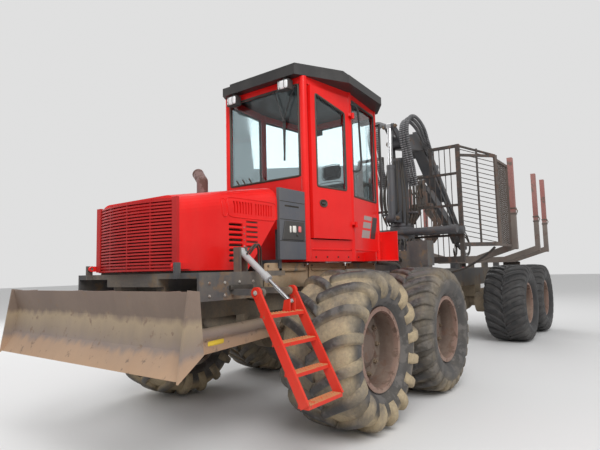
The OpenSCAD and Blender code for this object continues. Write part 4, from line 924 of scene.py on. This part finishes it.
# slate panels: seams, and on the left a slanted panel of blank switches
gaps = []
for s in (1, -1):
    u, v = (-s, 0, 0), (0, 0, 1)
    for z, a0, a1, tall in ((1.958, 0.002, 0.398, 0.006), (1.918, 0.08, 0.30, 0.016),
                            (1.790, 0.002, 0.398, 0.006), (1.592, 0.002, 0.398, 0.006)):
        gaps.append(raised(rounded(a1 - a0, tall, 8, 20), ((1, 0), (0.99, 0.0008)),
                           (3.395 - (a0 + a1) / 2, s * 0.5401, z), u, v))
piece("panel_gaps", gaps, gap_black, "front_unit", smooth=False)
outline = np.array([(-0.17, -0.088), (0.17, -0.088), (0.17, 0.088), (-0.125, 0.088)])
shape = raised(outline, ((1, 0), (1, 0.007), (0.97, 0.010)), (3.192, 0.5401, 1.690), (-1, 0, 0), (0, 0, 1))
piece("switch_panel", [shape], cab_plastic, "front_unit", smooth=False, bevel=0.002)
for name, x, z, wide, high, power, finish in (
        ("switch_1", 3.248, 1.700, 0.022, 0.062, 7, label_white),
        ("switch_2", 3.188, 1.703, 0.052, 0.064, 7, label_white),
        ("switch_3", 3.104, 1.705, 0.044, 0.058, 5, label_red),
        ("switch_4", 3.145, 1.648, 0.024, 0.024, 2, black_rubber)):
    shape = raised(rounded(wide, high, power, 28), ((1, 0), (1, 0.004), (0.9, 0.006)), (x, 0.5500, z),
                   (-1, 0, 0), (0, 0, 1))
    piece(name, [shape], finish, "front_unit")

# Seat
# A sprung driver's seat: foam cushion, back and headrest covered in dark cloth with piped edges, on
# a plastic pedestal between two armrests that carry the control sticks.
seat_cloth = aged("seat_cloth", (0.040, 0.042, 0.050), (0.075, 0.075, 0.08), dust=(0.16, 0.15, 0.14),
                  rubbed=0.35, dusty=0.2, splash=0, grain=60, gloss=0.8, relief=0.002)
seat_cloth.node_tree.nodes["Principled BSDF"].inputs["Sheen Weight"].default_value = 0.3
back_lean, arm_y = (-0.1215, 0, 0.9926), 0.315
pad_steps = ((0.90, 0), (0.97, 0.1), (1, 0.3), (1, 0.7), (0.97, 0.9), (0.90, 1))
seat_pads = (
    # name, middle of the back face, across, along, width, length, thickness, most swelling
    ("seat_cushion", (1.99, 0, 1.645), (0, -1, 0), (1, 0, 0), 0.48, 0.50, 0.125, 0.016),
    ("seat_back", (1.655, 0, 2.10), (0, 1, 0), back_lean, 0.46, 0.62, 0.105, 0.016),
    ("seat_headrest", (1.604, 0, 2.545), (0, 1, 0), (-0.09, 0, 0.9959), 0.27, 0.20, 0.075, 0.010),
    ("armrest_left", (1.975, arm_y, 1.915), (0, -1, 0), (1, 0, 0), 0.066, 0.40, 0.040, 0.005),
    ("armrest_right", (1.975, -arm_y, 1.915), (0, -1, 0), (1, 0, 0), 0.066, 0.40, 0.040, 0.005))


def swollen(obj, voxel, most):
    """Skins a pad with even cells, blows it up as cloth under pressure for twenty frames, moves no
    point by more than the given most, and smooths the outcome once."""
    skin = obj.modifiers.new("skin", "REMESH")
    skin.mode = "VOXEL"
    skin.voxel_size = voxel
    skin.use_smooth_shade = True
    finish = obj.data.materials[0]
    obj.data = bpy.data.meshes.new_from_object(obj.evaluated_get(bpy.context.evaluated_depsgraph_get()))
    obj.modifiers.clear()
    obj.data.materials.clear()
    obj.data.materials.append(finish)
    rest = np.empty(3 * len(obj.data.vertices), np.float32)
    obj.data.vertices.foreach_get("co", rest)
    cloth = obj.modifiers.new("cover", "CLOTH")
    cloth.settings.use_pressure = True
    cloth.settings.uniform_pressure_force = 4
    cloth.settings.effector_weights.gravity = 0
    for number in range(1, 21):
        scene.frame_set(number)
    blown = np.empty_like(rest)
    shown = obj.evaluated_get(bpy.context.evaluated_depsgraph_get())
    shown.data.vertices.foreach_get("co", blown)
    obj.modifiers.clear()
    scene.frame_set(1)
    move = (blown - rest).reshape(-1, 3)
    far = np.linalg.norm(move, axis=1)[:, None]
    kept = rest.reshape(-1, 3) + move * np.minimum(1, most / np.maximum(far, 1e-9))
    obj.data.vertices.foreach_set("co", kept.ravel())
    obj.data.polygons.foreach_set("use_smooth", [True] * len(obj.data.polygons))
    smooth = obj.modifiers.new("smooth", "SUBSURF")
    smooth.levels = smooth.render_levels = 1


for name, at, u, v, wide, long, thick, most in seat_pads:
    small = 2 * most
    outline = rounded(wide - small, long - small, 5, 60)
    shape = raised(outline, [(share, rise * thick) for share, rise in pad_steps], at, u, v)
    pad = piece(name, [shape], seat_cloth, "front_unit")
    slim = wide < 0.1
    swollen(pad, 0.005 if slim else 0.008, most)
    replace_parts(pad, "cab_seat")
    across, along = np.asarray(u, float), np.asarray(v, float)
    out = np.cross(across, along)
    edge = rounded(wide - 0.004, long - 0.004, 5, 90)
    if not slim:
        path = np.asarray(at) + edge[:, :1] * across + edge[:, 1:] * along + out * (0.82 * thick)
        shape = tube(path, 0.0045, out, 8, True)
        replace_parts(piece(name + "_piping", [shape], cab_plastic, "front_unit"), "cab_seat")
foot_steps = ((1, 0), (1, 0.03), (0.72, 0.06), (0.72, 0.15), (0.9, 0.185), (1.0, 0.195))
knob_steps = ((0.010, 0), (0.022, 0.015), (0.025, 0.045), (0.020, 0.07), (0.008, 0.078))
frame_parts = [
    raised(rounded(0.40, 0.34, 6, 40), foot_steps, (1.97, 0, 1.449), (1, 0, 0), (0, 1, 0)),
    raised(rounded(0.44, 0.60, 5, 40), ((0.9, 0), (1, 0.012), (1, 0.028)), (1.628, 0, 2.10), (0, 1, 0),
           back_lean)]
for s in (1, -1):
    frame_parts.append(raised(rounded(0.34, 0.07, 4, 24), ((0.6, 0), (0.8, 0.06), (1, 0.115), (1, 0.135)),
                              (1.96, s * arm_y, 1.78), (1, 0, 0), (0, 1, 0)))
    bracket = [(1.84, s * 0.20, 1.72), (1.84, s * 0.29, 1.72), (1.86, s * arm_y, 1.80)]
    frame_parts.append(hose(bracket, 12, 0.018, (1, 0, 0)))
    stick = [(2.14, s * arm_y, 1.95), (2.145, s * arm_y, 2.0), (2.16, s * arm_y, 2.05)]
    frame_parts.append(hose(stick, 10, 0.008, (0, 1, 0)))
    frame_parts.append(raised(rounded(2, 2, 2, 20), knob_steps, (2.16, s * arm_y, 2.045), (1, 0, 0),
                              (0, 1, 0)))
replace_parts(piece("seat_frame", frame_parts, cab_plastic, "front_unit"), "cab_seat")

# Ladder
# Red steel treads between two stringers, swung down at the deck's edge by a small silver actuator.
ladder_red = aged("ladder_red", (0.70, 0.022, 0.010), (0.30, 0.10, 0.05), dust=(0.38, 0.20, 0.12),
                  rubbed=0.25, dusty=0.14, splash=0.7, grain=14, gloss=0.4, specular=0.25)
actuator_silver = aged("actuator_silver", (0.42, 0.43, 0.44), (0.25, 0.24, 0.22), dust=road_dirt, rubbed=0.2,
                       dusty=0.2, grain=12, gloss=0.35)
paint_nodes(ladder_red, "ladder")
paint_nodes(actuator_silver, "ladder_barrel")
worn_step = aged("worn_step", (0.70, 0.060, 0.014), (0.55, 0.20, 0.08), dust=(0.50, 0.27, 0.14), rubbed=0.7,
                 dusty=0.30, splash=0.9, grain=26, gloss=0.5, specular=0.25)
# worn tread plates, each with three rows of raised grips
grip, step_x = [], np.linspace(3.925, 4.255, 12)
for y, z in ((1.136, 1.013), (1.237, 0.829), (1.339, 0.644), (1.440, 0.460)):
    grip.append(raised(rounded(0.390, 0.083, 14, 32), ((1, 0), (1, 0.0025), (0.985, 0.004)),
                       (4.09, y - 0.0175, z + 0.0118), (1, 0, 0), (0, 1, 0)))
    for row in (-0.045, -0.0175, 0.010):
        for x in step_x:
            grip.append(raised(rounded(0.016, 0.011, 2, 8), ((1, 0), (0.7, 0.0045)),
                               (x, y + row, z + 0.0155), (1, 0, 0), (0, 1, 0)))
piece("step_grip", grip, worn_step, "ladder", smooth=False)
nuts = []
for s, x in ((-1, 3.8765), (1, 4.3035)):
    nuts += hex_nuts([(x, 1.05, 1.17)], (s, 0, 0), 0.017, 0.010)
piece("ladder_nuts", nuts, bolt_zinc, "front_unit", smooth=False)
# two thin hoses to the ladder's actuator
lines = []
for x in (4.015, 4.045):
    lines.append(hose([(x, 0.735, 1.452), (x - 0.02, 0.765, 1.50), (x - 0.08, 0.755, 1.53),
                       (x - 0.17, 0.70, 1.50), (x - 0.22, 0.66, 1.42), (x - 0.23, 0.66, 1.33)], 40,
                      0.008, (0.3, 1, 0.2), 8))
actuator_lines = piece("actuator_lines", lines, black_rubber, None)
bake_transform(actuator_lines)

# Load space
# Three bunks with tapered stakes, faded red above and rusty below, behind a headboard of welded
# bars with slanted wings.
bar_rust = aged("bar_rust", (0.035, 0.031, 0.030), (0.10, 0.060, 0.045), dust=(0.2, 0.16, 0.13), rubbed=0.4,
                dusty=0.25, splash=1.4, grain=10, gloss=0.5)
stake_paint = aged("stake_paint", (0.19, 0.055, 0.045), (0.15, 0.10, 0.085), dust=(0.26, 0.22, 0.19),
                   rubbed=0.4, dusty=0.35, splash=1.7, grain=7, gloss=0.55)
banded(stake_paint, "Z", 1.6, 3.15, (
    (0.0, (0.13, 0.105, 0.090)), (0.37, (0.18, 0.145, 0.125)), (0.42, (0.30, 0.090, 0.080)),
    (1.0, (0.40, 0.140, 0.125))), wobble=0.10, streaks=(1, 1, 0.5))
banded(bar_rust, "Y", 0, 1.33, ((0.0, (0.035, 0.031, 0.030)), (0.93, (0.035, 0.031, 0.030)),
                                (0.96, (0.088, 0.068, 0.058)), (1.0, (0.088, 0.068, 0.058))), fold=0)
paint_nodes(bar_rust, "headboard")
paint_nodes(stake_paint, "stakes")
# expanded-metal panels in the sides of the headboard: two families of slanted strands
mesh_x, mesh_y, mesh_z = (-1.845, -1.155), 1.285, (1.64, 3.03)
strand_pitch, strand_rise, strand_r = 0.032, 0.62, 0.0034
strands = []
for s in (1, -1):
    for slope in (strand_rise, -strand_rise):
        wide = mesh_x[1] - mesh_x[0]
        starts = np.arange(mesh_z[0] - wide * strand_rise, mesh_z[1] + wide * strand_rise, strand_pitch)
        z0 = starts if slope > 0 else starts + wide * strand_rise
        lo, hi = np.sort(np.stack([(mesh_z[0] - z0) / slope, (mesh_z[1] - z0) / slope]), axis=0)
        lo, hi = np.clip(lo, 0, wide), np.clip(hi, 0, wide)
        for a, b, z in zip(lo, hi, z0):
            if b - a > 0.01:
                lean_in = (0, 0.0018 * np.sign(slope), 0)
                ends = [(mesh_x[0] + way, s * mesh_y, z + slope * way) for way in (a, b)]
                strands.append(tube(np.add(ends, lean_in), strand_r, (0, 1, 0), 4))
piece("side_mesh", strands, gap_black, "rear_unit", smooth=False)
# collars with a pin where the upper stakes telescope into the lower ones
collars, pins = [], []
stake_x = (-1.95, -3.85, -4.75)
for x in stake_x:
    for s in (1, -1):
        for z in (2.17, 2.26):
            collars.append(raised(rounded(0.112, 0.106, 9, 32), ((1, 0), (1, 0.026)), (x, s * 1.341, z),
                                  (1, 0, 0), (0, 1, 0)))
        pins.append(hose([(x - 0.03, s * 1.396, 2.20), (x, s * 1.410, 2.23),
                          (x + 0.03, s * 1.396, 2.26)], 12, 0.008, (0, 0, 1), 8))
piece("stake_collars", collars, bar_rust, "rear_unit", smooth=False, bevel=0.002)
piece("stake_pins", pins, stud_rust, "rear_unit")
# blank tail plates, white beside red, with round lamps
tail_y, half_plate, tail_z = 0.60, 0.085, 1.31
reds, whites, round_lamps = [], [], []
for s in (1, -1):
    y = s * tail_y
    for shift, shapes in ((half_plate, whites), (-half_plate, reds)):
        shapes.append(raised(rounded(0.168, 0.135, 12, 36), ((1, 0), (1, 0.004), (0.98, 0.005)),
                             (-4.811, y + s * shift, tail_z), (0, -1, 0), (0, 0, 1)))
    lamp_steps = ((0.034, 0), (0.038, 0.004), (0.038, 0.014), (0.030, 0.022), (0.010, 0.025))
    round_lamps.append(raised(rounded(2, 2, 2, 28), lamp_steps, (-4.8165, y - s * half_plate, tail_z),
                              (0, -1, 0), (0, 0, 1)))
for name, shapes, finish in (("tail_plates_white", whites, label_white),
                             ("tail_plates_red", reds, label_red),
                             ("tail_lamps", round_lamps, beacon_orange)):
    piece(name, shapes, finish, "rear_unit")
parts = [raised(rounded(0.36, 0.09, 9, 32), ((1, 0), (1, 0.010)), (-4.8005, s * tail_y, tail_z + 0.035),
                (0, -1, 0), (0, 0, 1)) for s in (1, -1)]
piece("tail_brackets", parts, bar_rust, "rear_unit", smooth=False)
# bolts that hold the bunks on the frame
places = [(x + k * 0.04, y, 1.4895) for x in stake_x for k in (-1, 1) for y in (-0.42, -0.30, 0.30, 0.42)]
piece("bunk_bolts", hex_nuts(places, (0, 0, 1), 0.014, 0.010), stud_rust, "rear_unit",
      smooth=False)
# bent stay of round bar from the left wing down to the frame
shape = hose([(-1.13, 1.22, 1.60), (-1.20, 1.08, 1.50), (-1.36, 0.70, 1.30),
              (-1.44, 0.34, 1.20)], 24, 0.020, (1, 0, 0), 12)
piece("wing_stay", [shape], bar_rust, "rear_unit")

# Crane
# A slewing column, main boom and outer boom with one telescope, all painted dark grey, a grapple of
# bare dark steel, and hoses in ribbed guards looped over the boom's knee.
crane_grey = aged("crane_grey", (0.060, 0.066, 0.078), (0.12, 0.085, 0.07), dust=(0.2, 0.17, 0.14),
                  rubbed=0.35, dusty=0.3, splash=1.4, grain=7, gloss=0.42)
grapple_steel = aged("grapple_steel", (0.075, 0.065, 0.06), (0.16, 0.10, 0.075), dust=(0.2, 0.17, 0.14),
                     rubbed=0.6, dusty=0.3, grain=9, gloss=0.45)
paint_nodes(crane_grey, "crane_base", "crane_column", "main_boom", "jib", "jib_extension", "lift_barrel",
            "jib_barrel")
paint_nodes(grapple_steel, "grapple_link", "rotator", "jaw_left", "jaw_right")
# pin ends with their nuts, each riding on the arm that carries its pin
pin_ends = (
    # body, place in x and z, half width, radius
    ("crane_column", -0.40, 3.35, 0.186, 0.042), ("main_boom", -3.05, 1.86, 0.101, 0.036),
    ("main_boom", -0.10, 3.55, 0.101, 0.030), ("crane_column", -0.05, 2.08, 0.101, 0.034))
for k, (body, x, z, half, radius) in enumerate(pin_ends):
    parts = []
    for s in (1, -1):
        parts.append(raised(rounded(2, 2, 2, 24), ((radius, -0.02), (radius, 0.006), (0.9 * radius, 0.010)),
                            (x, s * half, z), (-s, 0, 0), (0, 0, 1)))
        parts += hex_nuts([(x, s * (half + 0.009), z)], (0, s, 0), 0.55 * radius, 0.014)
    piece("crane_pin_%d" % (k + 1), parts, stud_rust, body, smooth=False)
# hoses in ribbed guards that climb the column, loop over its top and run onto the boom
# the guards' grey, passed in as their dust, lies on the ribs, and the grooves between the ribs stay near
# black as painted shade
hose_guard = by_mark(aged("hose_guard", (0.016, 0.016, 0.018), (0.06, 0.06, 0.06), dust=(0.40, 0.40, 0.41),
                          rubbed=0.3, splash=0, grain=18, gloss=0.4), "rib", 0.0, 0.9)
loop_y, guard_r, rib_pitch = (0.208, 0.268, 0.328, -0.208, -0.268, -0.328), 0.0275, 0.034
loops, ribs, cores = [], [], []
for k, y in enumerate(loop_y):
    high, near = 0.028 * (k % 3), 0.016 * (k % 3)
    path = soft_line([(-0.36 + near, 0.93 * y, 2.60), (-0.24 + near, y, 2.86), (-0.12 + near, y, 3.12),
                      (-0.05 + near, y, 3.36 + high), (-0.12, 0.98 * y, 3.56 + high),
                      (-0.33, 0.94 * y, 3.66 + high), (-0.60, 0.88 * y, 3.66 + high),
                      (-0.88, 0.80 * y, 3.58 + high), (-1.12, 0.70 * y, 3.46), (-1.36, 0.60 * y, 3.28)], 460)
    run = np.append(0, np.cumsum(np.linalg.norm(np.diff(path, axis=0), axis=1)))
    rib = 0.5 + 0.5 * np.tanh(4 * np.sin(2 * np.pi * run / rib_pitch))
    loops.append(tube(path, guard_r * (0.80 + 0.22 * rib), (0, 1, 0), 12))
    ribs.append(np.repeat(rib, 12))
    cores.append(hose([(-0.36, 0.72 * y, 1.99), (-0.34, 0.90 * y, 2.16), (-0.33 + near, 0.96 * y, 2.40),
                       (-0.352 + near, 0.935 * y, 2.64)], 30, 0.0135, (0, 1, 0)))
hose_loops = piece("hose_loops", loops, hose_guard, None)
mark(hose_loops, "rib", np.concatenate(ribs))
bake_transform(hose_loops)
# plain hoses up the column between clamps
for k, y in enumerate((-0.15, -0.09, -0.03, 0.03, 0.09, 0.15)):
    sway = 0.02 * math.sin(2.1 * k)
    cores.append(hose([(-0.262, y, 1.985), (-0.225, 1.15 * y, 2.2), (-0.215 + sway, 1.2 * y + sway, 2.5),
                       (-0.235, y + sway, 2.8), (-0.262, 0.8 * y, 3.02)], 40, 0.011, (1, 0, 0)))
piece("column_hoses", cores, black_rubber, "crane_column")
bands = []
for z, x in ((2.66, -0.345), (2.16, -0.335)):
    for s in (1, -1):
        bands.append(raised(rounded(0.072, 0.155, 4, 28), ((0.94, 0), (1, 0.004), (1, 0.026), (0.94, 0.030)),
                            (x + 0.012, s * 0.235, z), (1, 0, 0), (0, 1, 0)))
piece("hose_clamps", bands, crane_grey, "crane_column")
# steel pipes along both sides of the main boom, from the knee to the elbow, with their clamps
boom_knee, boom_elbow = np.array((-1.30, 3.42)), np.array((-2.93, 1.99))
boom_way = (boom_elbow - boom_knee) / np.linalg.norm(boom_elbow - boom_knee)
boom_across = np.array((-boom_way[1], boom_way[0]))
pipes, holders = [], []
for s in (1, -1):
    for k in (-1, 0, 1):
        ends = np.linspace(boom_knee, boom_elbow, 16) + 0.030 * k * boom_across
        path = np.column_stack([ends[:, 0], np.full(16, s * 0.1125), ends[:, 1]])
        pipes.append(tube(path, 0.0095, (0, 1, 0), 8))
    for share in (0.06, 0.36, 0.66, 0.95):
        at = boom_knee + share * (boom_elbow - boom_knee)
        holders.append(raised(rounded(0.105, 0.026, 5, 24), ((1, 0), (1, 0.024), (0.94, 0.027)),
                              (at[0], s * 0.1005, at[1]), (boom_across[0], 0, boom_across[1]),
                              (s * boom_way[0], 0, s * boom_way[1])))
piece("boom_pipes", pipes, crane_grey, "main_boom")
piece("pipe_holders", holders, black_rubber, "main_boom")
# hoses round the elbow onto the outer boom
turns_round = []
for s in (1, -1):
    for k in (0, 1, 2):
        o = 0.030 * k
        turns_round.append(hose([
            (-2.86 - 0.4 * o, s * 0.114, 2.05 + o), (-3.02 - o, s * (0.130 + 0.3 * o), 1.94 + o),
            (-3.20 - o, s * 0.140, 1.86 + 0.6 * o), (-3.33 - o, s * 0.140, 1.73),
            (-3.30 - 0.5 * o, s * 0.130, 1.60 - 0.6 * o), (-3.16, s * 0.115, 1.58 - o),
            (-3.02, s * 0.088, 1.68 - o)], 48, 0.0105, (0, 1, 0), 8))
elbow_hoses = piece("elbow_hoses", turns_round, black_rubber, None)
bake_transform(elbow_hoses)
# hoses from the outer boom's end down to the grapple's rotator
drops = []
for k, y in enumerate((-0.045, -0.015, 0.015, 0.045)):
    drops.append(hose([(-1.40, 0.8 * y, 2.815), (-1.27, y, 2.915), (-1.12, 1.5 * y, 2.88),
                       (-1.03, 2 * y, 2.75), (-1.06, 2 * y, 2.60), (-1.175, 1.4 * y, 2.525)], 40,
                      0.0095, (0, 1, 0), 8))
grapple_hoses = piece("grapple_hoses", drops, black_rubber, None)
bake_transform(grapple_hoses)
# fittings on the valve block behind the cab and the hoses that leave them
valve_x, valve_y = 0.10, np.linspace(-0.40, 0.40, 12)
valve_hoses = []
for k, y in enumerate(valve_y):
    valve_hoses.append(hose([(valve_x, y, 1.555), (valve_x, y, 1.61),
                             (0.05, 0.95 * y, 1.70 + 0.012 * (k % 3)), (-0.08, 0.75 * y, 1.745),
                             (-0.19, 0.55 * y, 1.72), (-0.245, 0.42 * y, 1.66)], 36,
                            0.0115, (0, 1, 0), 8))
piece("valve_hoses", valve_hoses, black_rubber, "rear_unit")
fittings = hex_nuts([(valve_x, y, 1.5595) for y in valve_y], (0, 0, 1), 0.017, 0.022)
piece("valve_fittings", fittings, bolt_zinc, "rear_unit", smooth=False)
